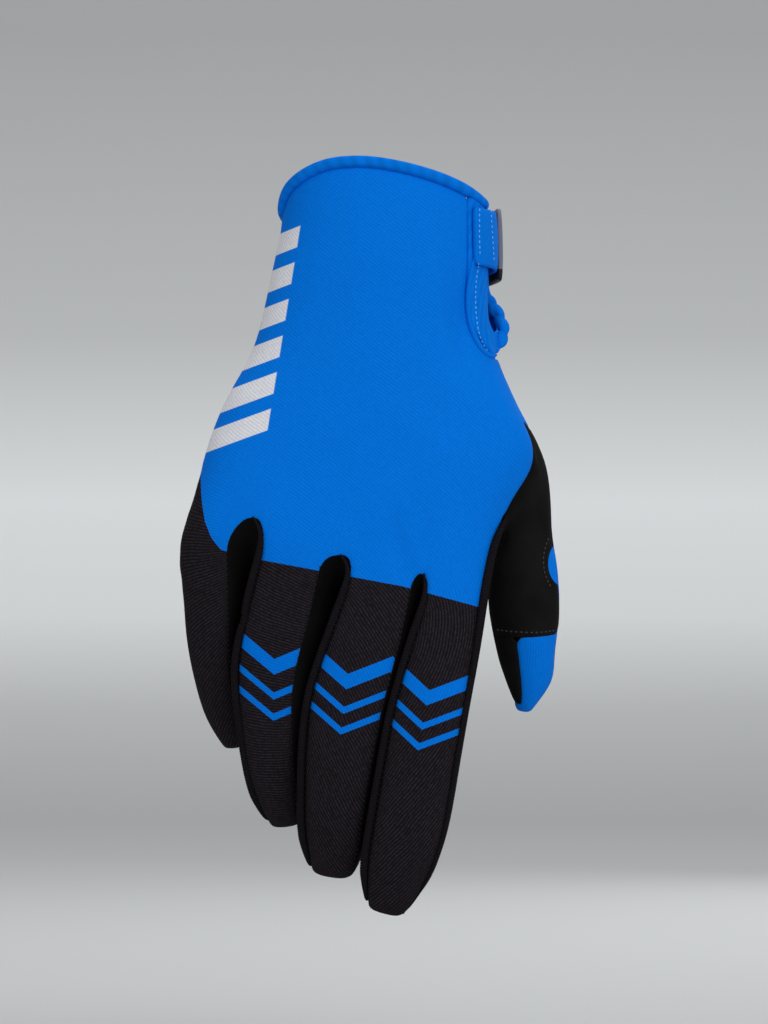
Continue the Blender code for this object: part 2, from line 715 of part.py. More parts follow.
def thumb_ball(surface):
    """Swells the outer side of the thumb's root, over the ball of the thumb."""
    edge = thumb_path(0.0)[0] - THUMB_PATH[0][1] * PALM_BREADTH
    middle = -THUMB_TOP - 0.35 * THUMB_BALL_HEIGHT
    for i, (x, y, z) in enumerate(surface.points):
        away = 2 * (z - middle) / THUMB_BALL_HEIGHT
        if abs(away) < 1:
            aside = smooth(1 + (x - edge) / (0.125 * PALM_BREADTH))
            behind = smooth((y / PALM_DEPTH + 0.10) / 0.30)
            swell = THUMB_BALL * (1 - away**2) ** 2 * aside * behind
            surface.points[i] = np.array([x + swell, y, z])


def build_thumb(surface, root):
    """The thumb: a patch over its back as far as the hem, cloth on its outer side and suede on its inner side."""
    across = SIDE + THUMB_FRONT_COLUMNS
    above = ["thumb_patch"] * 2 + ["thumb_back"] * (across - 1)
    above += ["thumb_front"] * (THUMB_ROWS - 1 + across - 2) + ["thumb_patch"] * (2 + THUMB_ROWS)
    below = ["thumb_back"] * (across + 1)
    below += ["thumb_front"] * (THUMB_ROWS - 1 + across + 2) + ["thumb_back"] * (THUMB_ROWS - 2)
    ring = grow_tube(
        surface, root, thumb_path, THUMB_PATH, thumb_angles, THUMB_LENGTH, THUMB_BLEND,
        THUMB_DEPTH, THUMB_SQUARE, 0.0, (above, below), PATCH_HEM,
    )
    direction = frame_along(thumb_path, 1.0)[1]
    surface.cap(ring, across, THUMB_ROWS, direction, TIP_BULGE, lambda i, j: "thumb_back")
    thumb_ball(surface)


def relax(surface, centre, reach, rounds):
    """Evens out the points within reach of a place, as cloth evens out a tight crook."""
    near = {i: set() for i, p in enumerate(surface.points) if np.linalg.norm(p - centre) < reach}
    for _, corners in surface.faces:
        for a, b in zip(corners, corners[1:] + corners[:1]):
            if a in near:
                near[a].add(b)
            if b in near:
                near[b].add(a)
    near = {i: others for i, others in near.items() if others}
    for _ in range(rounds):
        moved = {}
        for i, others in near.items():
            share = 0.5 * (1 - smooth(np.linalg.norm(surface.points[i] - centre) / reach))
            average = sum(surface.points[j] for j in others) / len(others)
            moved[i] = surface.points[i] * (1 - share) + average * share
        for i, p in moved.items():
            surface.points[i] = p


def surface_normals(surface):
    """The direction out of the surface at each point, shared by all the panels that meet there."""
    normals = np.zeros((len(surface.points), 3))
    for _, corners in surface.faces:
        a, b, c, d = (surface.points[i] for i in corners)
        across = np.cross(c - a, d - b)
        for i in corners:
            normals[i] += across
    lengths = np.linalg.norm(normals, axis=1)
    return normals / np.maximum(lengths, 1e-12)[:, None]


def material(name, colour, roughness, metallic=0.0):
    made = bpy.data.materials.new(name)
    made.use_nodes = True
    shader = made.node_tree.nodes["Principled BSDF"]
    shader.inputs["Base Color"].default_value = (*colour, 1.0)
    shader.inputs["Roughness"].default_value = roughness
    shader.inputs["Metallic"].default_value = metallic
    made.diffuse_color = (*colour, 1.0)
    return made


def add_object(name, mesh_data, look, collection):
    mesh = bpy.data.meshes.new(name)
    mesh_data.to_mesh(mesh)
    mesh_data.free()
    mesh.materials.append(look)
    mesh.shade_smooth()
    mesh.set_sharp_from_angle(angle=math.radians(50))
    made = bpy.data.objects.new(name, mesh)
    collection.objects.link(made)
    return made


def panel_object(surface, normals, name, look, collection):
    """One panel, cut a hair short of its seams, with its wall grown inwards along the shared directions."""
    faces = [corners for panel, corners in surface.faces if panel == name]
    edges = {}
    for corners in faces:
        for a, b in zip(corners, corners[1:] + corners[:1]):
            edges[a, b] = corners
    border = [(a, b) for a, b in edges if (b, a) not in edges]
    inward = {}
    for a, b in border:
        middle = sum(surface.points[i] for i in edges[a, b]) / 4
        run = unit(surface.points[b] - surface.points[a])
        pull = middle - surface.points[a]
        pull = unit(pull - np.dot(pull, run) * run)
        for i in (a, b):
            inward.setdefault(i, []).append(pull)
    outer, inner = {}, {}
    mesh_data = bmesh.new()
    for i in sorted({i for corners in faces for i in corners}):
        place = surface.points[i].copy()
        if i in inward:
            spread_out = 1 + max(-0.5, float(np.dot(inward[i][0], inward[i][-1])))
            place += SEAM_GAP * 0.65 * (inward[i][0] + inward[i][-1]) / spread_out
        outer[i] = mesh_data.verts.new(place)
        inner[i] = mesh_data.verts.new(place - CLOTH * normals[i])
    for corners in faces:
        mesh_data.faces.new([outer[i] for i in corners])
        mesh_data.faces.new([inner[i] for i in reversed(corners)])
    for a, b in border:
        mesh_data.faces.new([outer[b], outer[a], inner[a], inner[b]])
    return add_object(name, mesh_data, look, collection)


def slab_object(name, low, high, look, collection):
    """A closed strip between a lower and an upper grid of points."""
    rows, columns = len(low), len(low[0])
    mesh_data = bmesh.new()
    under = [[mesh_data.verts.new(p) for p in row] for row in low]
    over = [[mesh_data.verts.new(p) for p in row] for row in high]
    for r in range(rows - 1):
        for c in range(columns - 1):
            mesh_data.faces.new([over[r][c], over[r + 1][c], over[r + 1][c + 1], over[r][c + 1]])
            mesh_data.faces.new([under[r][c], under[r][c + 1], under[r + 1][c + 1], under[r + 1][c]])
    for r in range(rows - 1):
        mesh_data.faces.new([over[r][0], under[r][0], under[r + 1][0], over[r + 1][0]])
        mesh_data.faces.new([over[r][-1], over[r + 1][-1], under[r + 1][-1], under[r][-1]])
    for c in range(columns - 1):
        mesh_data.faces.new([over[0][c], over[0][c + 1], under[0][c + 1], under[0][c]])
        mesh_data.faces.new([over[-1][c], under[-1][c], under[-1][c + 1], over[-1][c + 1]])
    bmesh.ops.recalc_face_normals(mesh_data, faces=mesh_data.faces)
    return add_object(name, mesh_data, look, collection)


def crown(t):
    """A band's rounded face, 0 at its edges and 1 over its middle."""
    return 1 - (2 * t - 1) ** 4


def slit_angle():
    """How far round the cuff one width of the slit's binding reaches, in degrees."""
    return math.degrees(SLIT_BAND_WIDTH / (0.54 * CUFF_DEPTH))


def cuff_band(look, collection):
    """The binding folded over the cuff's edge, from one side of the slit round to the other."""
    step = 8.0
    start = corner("radial_back", 0.0) - slit_angle()
    end = 360 + corner("radial_front", 0.0) + slit_angle()
    count = round((end - start) / step)
    low, high = [], []
    for r in range(count + 1):
        angle = start + (end - start) * r / count
        foot = rim_height(angle) - CUFF_BAND_HEIGHT + SEAM_GAP
        heights = [foot + (rim_height(angle) - foot) * t for t in (0.0, 0.3, 0.7, 1.0)]
        rounded = (0.35, 1.0, 1.0, 0.1)
        low.append([over_palm(angle, z, -CLOTH - BAND_PROUD * t) for z, t in zip(heights, rounded)])
        high.append([over_palm(angle, z, BAND_PROUD * t) for z, t in zip(heights, rounded)])
    return slab_object("cuff_binding", low, high, look, collection)


def slit_band(rows, count, surface, look, collection):
    """The slit's binding: down its back edge, round its end and, gathered, up its front edge."""
    edge = count - 1
    front = edge + SIDE
    outline = [(rows[r][edge], 1.0, 0.0) for r in range(SLIT_ROWS + 1)]
    outline += [(rows[SLIT_ROWS][edge + k], 1 - 2 * k / SIDE, 1.0) for k in range(1, SIDE)]
    outline += [(rows[r][front], -1.0, 0.0) for r in range(SLIT_ROWS, -1, -1)]
    steps = 3
    columns = 4
    turn = slit_angle()
    stations = []
    for (a, side_a, end_a), (b, side_b, end_b) in zip(outline[:-1], outline[1:]):
        for i in range(steps):
            t = i / steps
            place = surface.points[a] * (1 - t) + surface.points[b] * t
            stations.append((place, side_a + (side_b - side_a) * t, end_a + (end_b - end_a) * t))
    stations.append((surface.points[outline[-1][0]], -1.0, 0.0))
    low, high = [], []
    for r, (place, side, end) in enumerate(stations):
        z = place[2]
        from_end = (z + SLIT_LENGTH + SLIT_ROUND) / (1.7 * SLIT_BAND_WIDTH)
        lift_up = SLIT_BAND_WIDTH * (1 - smooth(from_end)) * 0.75
        middle = (corner("radial_back", z) + corner("radial_front", z)) / 2
        half = (corner("radial_back", z) - corner("radial_front", z)) / 2
        angle = middle + half * side
        inner = middle + (half - turn * 1.0) * side
        down = -(z + lift_up) / SLIT_LENGTH
        begin, full, ebb, gone = GATHER
        flare = smooth((down - begin) / (full - begin)) * (1 - smooth((down - ebb) / (gone - ebb)))
        flare *= 1 - smooth((side + 0.2) / 0.9)
        ruffle = RUFFLE * math.sin(2 * math.pi * RUFFLE_COUNT * (down - begin) / (gone - begin))
        under, over = [], []
        for c in range(columns + 1):
            t = c / columns
            reach = SEAM_GAP / SLIT_BAND_WIDTH * 1.6 + t * (1 - SEAM_GAP / SLIT_BAND_WIDTH * 1.6)
            here_angle = angle + (inner - angle) * reach
            climb = max(0.0, (z + SLIT_LENGTH) / (rim_height(angle) - CUFF_BAND_HEIGHT + SLIT_LENGTH))
            here_z = z + lift_up * reach + climb * (rim_height(here_angle) - rim_height(angle))
            base = palm_point(here_angle, here_z)
            normal = palm_normal(here_angle, here_z)
            out = (GATHER_FLARE + ruffle) * flare * (1 - (1 - t) ** 2) * (1 - 0.2 * t**3)
            under.append(base + normal * (out - CLOTH))
            over.append(base + normal * (out + BAND_PROUD * crown(0.08 + 0.84 * t)))
        low.append(under)
        high.append(over)
    return slab_object("slit_binding", low, high, look, collection)


def wrapped_strip(name, start, end, top, drop, slope, lift, thickness, look, collection, rounding=0.0):
    """A strip laid round the cuff, from one angle to another, with its far corners rounded.

    lift is how far it lies above the cloth at its start and at its end.
    """
    step = 5.0
    columns = 4
    count = max(2, round(abs(end - start) / step))
    low, high = [], []
    for r in range(count + 1):
        t = r / count
        angle = start + (end - start) * t
        from_end = (1 - t) * abs(math.radians(end - start)) * CUFF_BREADTH / 2
        inset = 0.0
        if rounding and from_end < rounding:
            inset = rounding - math.sqrt(rounding**2 - (rounding - from_end) ** 2)
        z_top = top - slope * t - inset
        z_foot = top - drop - slope * t + inset
        under, over = [], []
        for c in range(columns + 1):
            z = z_top + (z_foot - z_top) * c / columns
            soft = 0.75 + 0.25 * crown(c / columns)
            rest = lift[0] + (lift[1] - lift[0]) * smooth(4 * t)
            under.append(over_palm(angle, z, rest))
            over.append(over_palm(angle, z, rest + thickness * soft))
        low.append(under)
        high.append(over)
    return slab_object(name, low, high, look, collection)


def main():
    clear_scene()
    collection = bpy.data.collections.new(COLLECTION)
    bpy.context.scene.collection.children.link(collection)
    blue_cloth = material("blue_stretch_cloth", (0.0, 0.17, 0.62), 0.75)
    blue_binding = material("blue_binding", (0.0, 0.18, 0.66), 0.7)
    black_suede = material("black_suede", (0.012, 0.012, 0.013), 0.9)
    black_stretch = material("black_stretch_cloth", (0.008, 0.008, 0.009), 0.8)
    grey_rubber = material("grey_rubber", (0.12, 0.12, 0.14), 0.5)
    loop_pile = material("black_loop_pile", (0.01, 0.01, 0.01), 0.95)

    surface = Surface()
    rows, count = build_palm(surface)
    thumb_root = palm_faces(surface, rows, count)
    web_edges = build_webs(surface, rows[-1], count)
    build_fingers(surface, rows[-1], count, web_edges)
    build_thumb(surface, thumb_root)
    crook = thumb_root[SIDE + THUMB_FRONT_COLUMNS + THUMB_ROWS :]
    relax(surface, sum(surface.points[i] for i in crook) / len(crook), CROOK_REACH, CROOK_ROUNDS)
    for near_side, far_side in web_edges:
        middle = (surface.points[near_side[2]] + surface.points[far_side[2]]) / 2
        relax(surface, middle, WEB_REACH, CROOK_ROUNDS)
    normals = surface_normals(surface)

    looks = {
        "back_panel": blue_cloth,
        "thumb_back": blue_cloth,
        "palm_panel": black_suede,
        "thumb_front": black_suede,
        "thumb_patch": black_suede,
    }
    for panel in sorted({panel for panel, _ in surface.faces}):
        panel_object(surface, normals, panel, looks.get(panel, black_stretch), collection)

    cuff_band(blue_binding, collection)
    slit_band(rows, count, surface, blue_binding, collection)
    pad_lift = (SEAM_GAP, SEAM_GAP)
    strap_lift = (BAND_PROUD + SEAM_GAP, max(BAND_PROUD, PAD_THICKNESS + SEAM_GAP) + SEAM_GAP)
    tab_lift = (strap_lift[1] + STRAP_THICKNESS + SEAM_GAP,) * 2
    wrapped_strip(
        "closure_loop_pad", -44.0, -104.0, PAD_TOP, PAD_WIDTH, 0.0, pad_lift, PAD_THICKNESS, loop_pile, collection
    )
    wrapped_strip(
        "closure_strap", 35.0, -84.0, STRAP_TOP, STRAP_WIDTH, STRAP_SLOPE, strap_lift, STRAP_THICKNESS,
        blue_binding, collection, rounding=0.004,
    )
    wrapped_strip(
        "closure_tab", -3.0, -90.0, STRAP_TOP, STRAP_WIDTH + TAB_OVERHANG, STRAP_SLOPE, tab_lift, TAB_THICKNESS,
        grey_rubber, collection, rounding=0.008,
    )


main()
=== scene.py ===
import math

import bmesh
import bpy
import numpy as np
from mathutils import Matrix, Vector
from mathutils.bvhtree import BVHTree
from mathutils.kdtree import KDTree


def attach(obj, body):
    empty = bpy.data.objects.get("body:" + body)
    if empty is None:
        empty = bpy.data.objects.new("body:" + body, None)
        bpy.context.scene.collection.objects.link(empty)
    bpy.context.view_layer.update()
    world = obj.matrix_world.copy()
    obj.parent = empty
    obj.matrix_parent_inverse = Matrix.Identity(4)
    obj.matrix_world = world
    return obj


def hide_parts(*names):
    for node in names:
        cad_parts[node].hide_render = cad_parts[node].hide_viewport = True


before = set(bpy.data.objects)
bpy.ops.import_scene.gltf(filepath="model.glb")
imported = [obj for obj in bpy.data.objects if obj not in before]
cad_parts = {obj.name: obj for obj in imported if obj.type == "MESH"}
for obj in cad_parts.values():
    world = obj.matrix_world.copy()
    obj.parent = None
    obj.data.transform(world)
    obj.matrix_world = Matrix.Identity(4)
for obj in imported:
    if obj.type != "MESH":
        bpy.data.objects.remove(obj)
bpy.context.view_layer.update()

# The studio: a pale floor that sweeps up behind into a wall. Its grey paint is graded by height with painted
# light and shade, lighter and darker where the lamps' light would rise and fall over the floor and wall. A
# wide soft key light stands in front to the right, with a weaker fill at the left, others above, behind and
# aside, and one that washes the wall. The camera has a long lens, level with the palm.
FRAME_HEIGHT = 0.3123
CAMERA_AWAY = 4.0
CAMERA_ACROSS = -0.0003
CAMERA_UP = -0.0906
CAMERA_SEES_TO = 50.0
SENSOR_HEIGHT = 24.0
FLOOR_DROP = 0.262
FLOOR_HALF_WIDTH = 4.0
FLOOR_SMOOTHING = 3
SWEEP = [(-2.5, 0.0), (1.4, 0.0), (2.2, 0.06), (2.75, 0.30), (3.05, 0.80), (3.15, 1.6), (3.15, 4.0)]
PAINTED_LIGHT_TO = 0.42
# Painted light and shade on the backdrop: its grey at each share of the height, lighter and darker as the
# lamps' light would fall.
PAINTED_LIGHT_GRADES = [
    (0.00, 0.54),
    (0.085, 0.43),
    (0.19, 0.56),
    (0.29, 0.80),
    (0.42, 0.86),
    (0.62, 0.585),
    (1.00, 0.44),
]
PAINT_GREEN = 1.02
PAINT_BLUE = 1.03
AT_GLOVE = (0, 0, -0.1)
AT_WALL = (0, 2.6, 0)
LAMPS = [
    ("key", (0.70, -1.6, 0.75), AT_GLOVE, 1.3, 18.0),
    ("fill", (-1.2, -1.3, 0.0), AT_GLOVE, 1.4, 9.0),
    ("top", (0.0, 0.1, 1.3), AT_GLOVE, 1.0, 5.0),
    ("rear", (0.5, 1.1, 0.3), AT_GLOVE, 0.9, 3.0),
    ("side", (1.4, -0.2, -0.2), AT_GLOVE, 0.9, 4.0),
    ("backdrop", (0.0, 1.0, 1.9), AT_WALL, 1.6, 28.0),
]
SKY = (0.80, 0.82, 0.84, 1)
SKY_STRENGTH = 0.32


def add_node(tree, kind, inputs=None, **settings):
    """Adds a node and fills or links its inputs."""
    node = tree.nodes.new(kind)
    for name, value in settings.items():
        setattr(node, name, value)
    for socket, value in (inputs or {}).items():
        if isinstance(value, bpy.types.NodeSocket):
            tree.links.new(value, node.inputs[socket])
        else:
            node.inputs[socket].default_value = value
    return node


def new_look(name, roughness, specular):
    """A new material with its gloss set: itself, its node tree and its shader."""
    look = bpy.data.materials.new(name)
    look.use_nodes = True
    shader = look.node_tree.nodes["Principled BSDF"]
    shader.inputs["Roughness"].default_value = roughness
    shader.inputs["Specular IOR Level"].default_value = specular
    return look, look.node_tree, shader


camera = bpy.data.objects.new("camera", bpy.data.cameras.new("camera"))
bpy.context.scene.collection.objects.link(camera)
camera.data.sensor_fit = "VERTICAL"
camera.data.sensor_height = SENSOR_HEIGHT
camera.data.lens = SENSOR_HEIGHT * CAMERA_AWAY / FRAME_HEIGHT
camera.data.clip_end = CAMERA_SEES_TO
camera.location = (CAMERA_ACROSS, -CAMERA_AWAY, CAMERA_UP)
camera.rotation_euler = (math.radians(90), 0, 0)
bpy.context.scene.camera = camera
bpy.context.scene.view_settings.view_transform = "Standard"

for lamp_name, stand, aim, breadth, watts in LAMPS:
    lamp = bpy.data.objects.new(lamp_name, bpy.data.lights.new(lamp_name, "AREA"))
    bpy.context.scene.collection.objects.link(lamp)
    lamp.data.size = breadth
    lamp.data.energy = watts
    lamp.location = stand
    lamp.rotation_euler = (Vector(aim) - Vector(stand)).to_track_quat("-Z", "Y").to_euler()

world = bpy.data.worlds.new("studio")
world.use_nodes = True
world.node_tree.nodes["Background"].inputs["Color"].default_value = SKY
world.node_tree.nodes["Background"].inputs["Strength"].default_value = SKY_STRENGTH
bpy.context.scene.world = world

bpy.ops.object.select_all(action="DESELECT")
bpy.ops.mesh.primitive_plane_add(size=2, location=(0, 0, 0))
floor = bpy.context.object
floor.name = "floor"
bpy.ops.object.mode_set(mode="EDIT")
bpy.ops.mesh.select_all(action="SELECT")
bpy.ops.mesh.subdivide(number_cuts=len(SWEEP) - 2)
bpy.ops.object.mode_set(mode="OBJECT")
for vertex in floor.data.vertices:
    step = round((vertex.co.y + 1) / 2 * (len(SWEEP) - 1))
    vertex.co = (vertex.co.x * FLOOR_HALF_WIDTH, SWEEP[step][0], SWEEP[step][1] - FLOOR_DROP)
bpy.ops.object.modifier_add(type="SUBSURF")
floor.modifiers[0].levels = FLOOR_SMOOTHING
floor.modifiers[0].render_levels = FLOOR_SMOOTHING
bpy.ops.object.shade_smooth()
paint, paint_tree, paint_shader = new_look("studio_paint_with_painted_light", 0.95, 0.1)
paint_place = add_node(paint_tree, "ShaderNodeTexCoord").outputs["Object"]
paint_height = add_node(paint_tree, "ShaderNodeSeparateXYZ", {0: paint_place}).outputs[2]
paint_level = add_node(
    paint_tree,
    "ShaderNodeMapRange",
    {"Value": paint_height, "From Min": -FLOOR_DROP, "From Max": PAINTED_LIGHT_TO - FLOOR_DROP},
).outputs[0]
# This ramp paints light and shade into the backdrop's colour by height.
painted_light_ramp = add_node(paint_tree, "ShaderNodeValToRGB", {0: paint_level})
paint_tree.links.new(painted_light_ramp.outputs[0], paint_shader.inputs["Base Color"])
for i, (share, grey) in enumerate(PAINTED_LIGHT_GRADES):
    element = painted_light_ramp.color_ramp.elements[i] if i < 2 else painted_light_ramp.color_ramp.elements.new(share)
    element.position = share
    element.color = (grey, grey * PAINT_GREEN, grey * PAINT_BLUE, 1)
floor.data.materials.append(paint)

# The glove's cloth is cut as flat panels and sewn edge to edge. Each panel here is a copy of its solid in
# quads, with its rim creased a little, so that the cut edges roll in at the seams. Its flat pattern is kept
# as a UV map in metres, so that the weave runs over the cloth as it was cut.
WALL = 0.0012
WALL_SLACK = 0.25
OFF_LENGTH_COUNTS = 2
OPEN_ABOVE = -0.014
START_CLEAR = 2e-5
STEP_CLEAR = 1e-6
MOST_WALLS = 16
RIM_FACING = 0.6
CUFF_ACROSS = 0.033
CUFF_DEEP = 0.024
RIM_CREASE = 0.35
PANEL_SMOOTHING = 2
MERGE = 5e-6
QUAD_TURN = math.radians(40)
QUAD_SKEW = math.radians(60)
UNWRAP_ROUNDS = 30
SIDEWAYS_MORE = 1.3
LEAST_WEIGHT = 1e-12
PANELS = (
    "back_panel",
    "palm_panel",
    "fourchette_little_ring",
    "fourchette_ring_middle",
    "fourchette_middle_index",
    "thumb_back",
    "thumb_front",
    "thumb_patch",
)


def tree_of(*pieces):
    """The surfaces of some pieces as one tree."""
    points, faces = [], []
    for piece in pieces:
        start = len(points)
        points += [v.co.copy() for v in piece.data.vertices]
        faces += [[start + i for i in p.vertices] for p in piece.data.polygons]
    return BVHTree.FromPolygons(points, faces)


def looks_out(at, way, walls):
    """True if a ray from this point leaves the glove: it then goes in and out of an even number of walls."""
    if at.z > OPEN_ABOVE:
        return way.xy.dot(at.xy) > 0
    at = at + way * START_CLEAR
    crossed = 0
    while crossed < MOST_WALLS:
        hit = walls.ray_cast(at, way)[0]
        if hit is None:
            break
        crossed += 1
        at = hit + way * STEP_CLEAR
    return crossed % 4 == 0


def through_wall(mesh):
    """For each vertex, the way out through the wall, from the vertex on the wall's other side."""
    near = KDTree(len(mesh.verts))
    for i, vertex in enumerate(mesh.verts):
        near.insert(vertex.co, i)
    near.balance()
    ways = {}
    for vertex in mesh.verts:
        best = None
        for place, _, away in near.find_range(vertex.co, WALL * (1 + WALL_SLACK)):
            if away > WALL * (1 - WALL_SLACK):
                way = (vertex.co - place) / away
                score = way.dot(vertex.normal) - abs(away - WALL) / WALL * OFF_LENGTH_COUNTS
                if best is None or score > best[0]:
                    best = (score, way)
        ways[vertex] = best[1] if best else vertex.normal
    return ways


def sides_of(mesh, walls):
    """Tells a panel's faces apart: 1 on the side that faces out, -1 inside, 0 on the cut edge between."""
    if walls is None:
        sides = {}
        for face in mesh.faces:
            at = face.calc_center_median()
            facing = Vector((at.x / CUFF_ACROSS**2, at.y / CUFF_DEEP**2, 0)).normalized().dot(face.normal)
            sides[face] = 0 if abs(facing) < RIM_FACING else 1 if facing > 0 else -1
        return sides
    outer = {vertex: looks_out(vertex.co, way, walls) for vertex, way in through_wall(mesh).items()}
    sides = {}
    for face in mesh.faces:
        count = sum(outer[vertex] for vertex in face.verts)
        sides[face] = 1 if count == len(face.verts) else -1 if count == 0 else 0
    return sides


def lay_flat(piece):
    """Unwraps the panel, and turns and scales the pattern to lie as the panel does seen from outside."""
    bpy.ops.object.mode_set(mode="EDIT")
    bpy.ops.mesh.select_all(action="SELECT")
    bpy.ops.uv.unwrap(method="MINIMUM_STRETCH", iterations=UNWRAP_ROUNDS, margin=0.0)
    bpy.ops.object.mode_set(mode="OBJECT")
    mesh = bmesh.new()
    mesh.from_mesh(piece.data)
    layer = mesh.loops.layers.uv.active
    side_of = mesh.faces.layers.int["side"]
    for side in (1, -1, 0):
        faces = [face for face in mesh.faces if face[side_of] == side]
        if not faces:
            continue
        normal = sum((face.normal * face.calc_area() for face in faces), Vector())
        across = 1 if abs(normal.x) > SIDEWAYS_MORE * abs(normal.y) else 0
        flat, place, weight = [], [], []
        for face in faces:
            for loop in face.loops:
                flat.append(complex(*loop[layer].uv))
                place.append(complex(loop.vert.co[across], loop.vert.co.z))
                weight.append(face.calc_area() * abs(face.normal[1 - across]) ** 2 + LEAST_WEIGHT)
        flat, place, weight = np.array(flat), np.array(place), np.array(weight)
        best = None
        for target in (place, -place.conjugate()):
            mean_flat = (flat * weight).sum() / weight.sum()
            mean_target = (target * weight).sum() / weight.sum()
            turn = ((target - mean_target) * (flat - mean_flat).conjugate() * weight).sum()
            turn /= (abs(flat - mean_flat) ** 2 * weight).sum()
            left = (abs(target - mean_target - turn * (flat - mean_flat)) ** 2 * weight).sum()
            if best is None or left < best[0]:
                best = (left, turn, mean_target - turn * mean_flat)
        for face in faces:
            for loop in face.loops:
                at = complex(*loop[layer].uv) * best[1] + best[2]
                loop[layer].uv = (at.real, at.imag)
    mesh.to_mesh(piece.data)
    mesh.free()


def sewn_panel(node, name, walls, crease=RIM_CREASE):
    """A panel that stands for a CAD node: quads, a rolled rim, a flat pattern and a smooth surface."""
    piece = bpy.data.objects.new(name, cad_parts[node].data.copy())
    bpy.context.scene.collection.objects.link(piece)
    piece.data.materials.clear()
    bpy.ops.object.select_all(action="DESELECT")
    piece.select_set(True)
    bpy.context.view_layer.objects.active = piece
    bpy.ops.object.mode_set(mode="EDIT")
    bpy.ops.mesh.select_all(action="SELECT")
    bpy.ops.mesh.customdata_custom_splitnormals_clear()
    bpy.ops.mesh.remove_doubles(threshold=MERGE)
    bpy.ops.mesh.tris_convert_to_quads(face_threshold=QUAD_TURN, shape_threshold=QUAD_SKEW)
    bpy.ops.object.mode_set(mode="OBJECT")
    mesh = bmesh.new()
    mesh.from_mesh(piece.data)
    mesh.normal_update()
    if not mesh.loops.layers.uv:
        mesh.loops.layers.uv.new("cloth")
    side_of = mesh.faces.layers.int.new("side")
    creases = mesh.edges.layers.float.new("crease_edge")
    for face, side in sides_of(mesh, walls).items():
        face[side_of] = side
    for edge in mesh.edges:
        if len(edge.link_faces) == 2 and edge.link_faces[0][side_of] != edge.link_faces[1][side_of]:
            edge.seam = True
            edge[creases] = crease
    mesh.to_mesh(piece.data)
    mesh.free()
    lay_flat(piece)
    bpy.ops.object.modifier_add(type="SUBSURF")
    piece.modifiers[0].levels = PANEL_SMOOTHING
    piece.modifiers[0].render_levels = PANEL_SMOOTHING
    bpy.ops.object.modifier_apply(modifier=piece.modifiers[0].name)
    bpy.ops.object.shade_smooth()
    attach(piece, "root")
    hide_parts(node)
    return piece


cloth_walls = tree_of(*(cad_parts[node] for node in PANELS))
back = sewn_panel("back_panel", "printed_back", cloth_walls)

# The back and the thumb's outer side are ribbed stretch cloth, dyed blue, and charcoal below the knuckles.
# White bars and blue chevrons are printed on it.
BLUE = (0.0, 0.176, 0.745, 1)
BLUE_DEEP = (0.0, 0.166, 0.705, 1)
CHARCOAL = (0.0160, 0.0128, 0.0172, 1)
WHITE = (0.74, 0.75, 0.80, 1)
RIB_PITCH = 0.00078
RIB_SLANT = math.radians(50)
RIB_SWAY = 1.6
SWAY_SCALE = 95.0
CLOUD_SCALE = 38.0
DRIFT_SCALE = 30.0
KNOT_LENGTH = 1.1
CLOTH_ROUGHNESS = 0.86
CLOTH_SPECULAR = 0.05
BASE_TONE = 0.86
RIB_TONE = 0.13
KNOT_TONE = 0.14
CLOUD_TONE = 0.10
CLOUD_MIDDLE = 0.07
FLECK_TONE = 1.5
FLECK_MIDDLE = 0.30
KNOT_HEIGHT = 0.45
RIB_DEPTH = 0.00007
SHARP = 4000.0
SUEDE_EDGE_SHARP = 3000.0


def sum_of(tree, operation, first, second=0.0, third=0.0, clamp=False):
    """One Math node's result."""
    values = {0: first, 1: second, 2: third}
    return add_node(tree, "ShaderNodeMath", values, operation=operation, use_clamp=clamp).outputs[0]


def product(tree, first, second):
    """One Math node that multiplies."""
    return sum_of(tree, "MULTIPLY", first, second)


def total(tree, first, second):
    """One Math node that adds."""
    return sum_of(tree, "ADD", first, second)


def difference(tree, first, second):
    """One Math node that subtracts."""
    return sum_of(tree, "SUBTRACT", first, second)


def inside(tree, limit, value, sharp=SHARP):
    """A crisp mask: 1 where the value is under its limit."""
    return sum_of(tree, "MULTIPLY_ADD", difference(tree, limit, value), sharp, 0.5, clamp=True)


def blended(tree, share, first, second):
    """One Mix node's colour."""
    return add_node(tree, "ShaderNodeMix", {0: share, 6: first, 7: second}, data_type="RGBA").outputs[2]


def new_group(name, inputs, outputs):
    """An empty shader node group with named sockets."""
    group = bpy.data.node_groups.new(name, "ShaderNodeTree")
    for socket, kind, value in inputs:
        made = group.interface.new_socket(name=socket, in_out="INPUT", socket_type=kind)
        if value is not None:
            made.default_value = value
    for socket, kind in outputs:
        group.interface.new_socket(name=socket, in_out="OUTPUT", socket_type=kind)
    return group, group.nodes.new("NodeGroupInput").outputs, group.nodes.new("NodeGroupOutput").inputs


def place_group(name, *masks):
    """A group that turns a place on the glove into masks, with the place's three parts."""
    outputs = [(mask, "NodeSocketFloat") for mask in masks]
    group, given, made = new_group(name, [("Place", "NodeSocketVector", None)], outputs)
    return group, add_node(group, "ShaderNodeSeparateXYZ", {0: given["Place"]}).outputs, made


def masks_of(tree, group, place):
    """A group's masks at a place."""
    return add_node(tree, "ShaderNodeGroup", {"Place": place}, node_tree=group).outputs


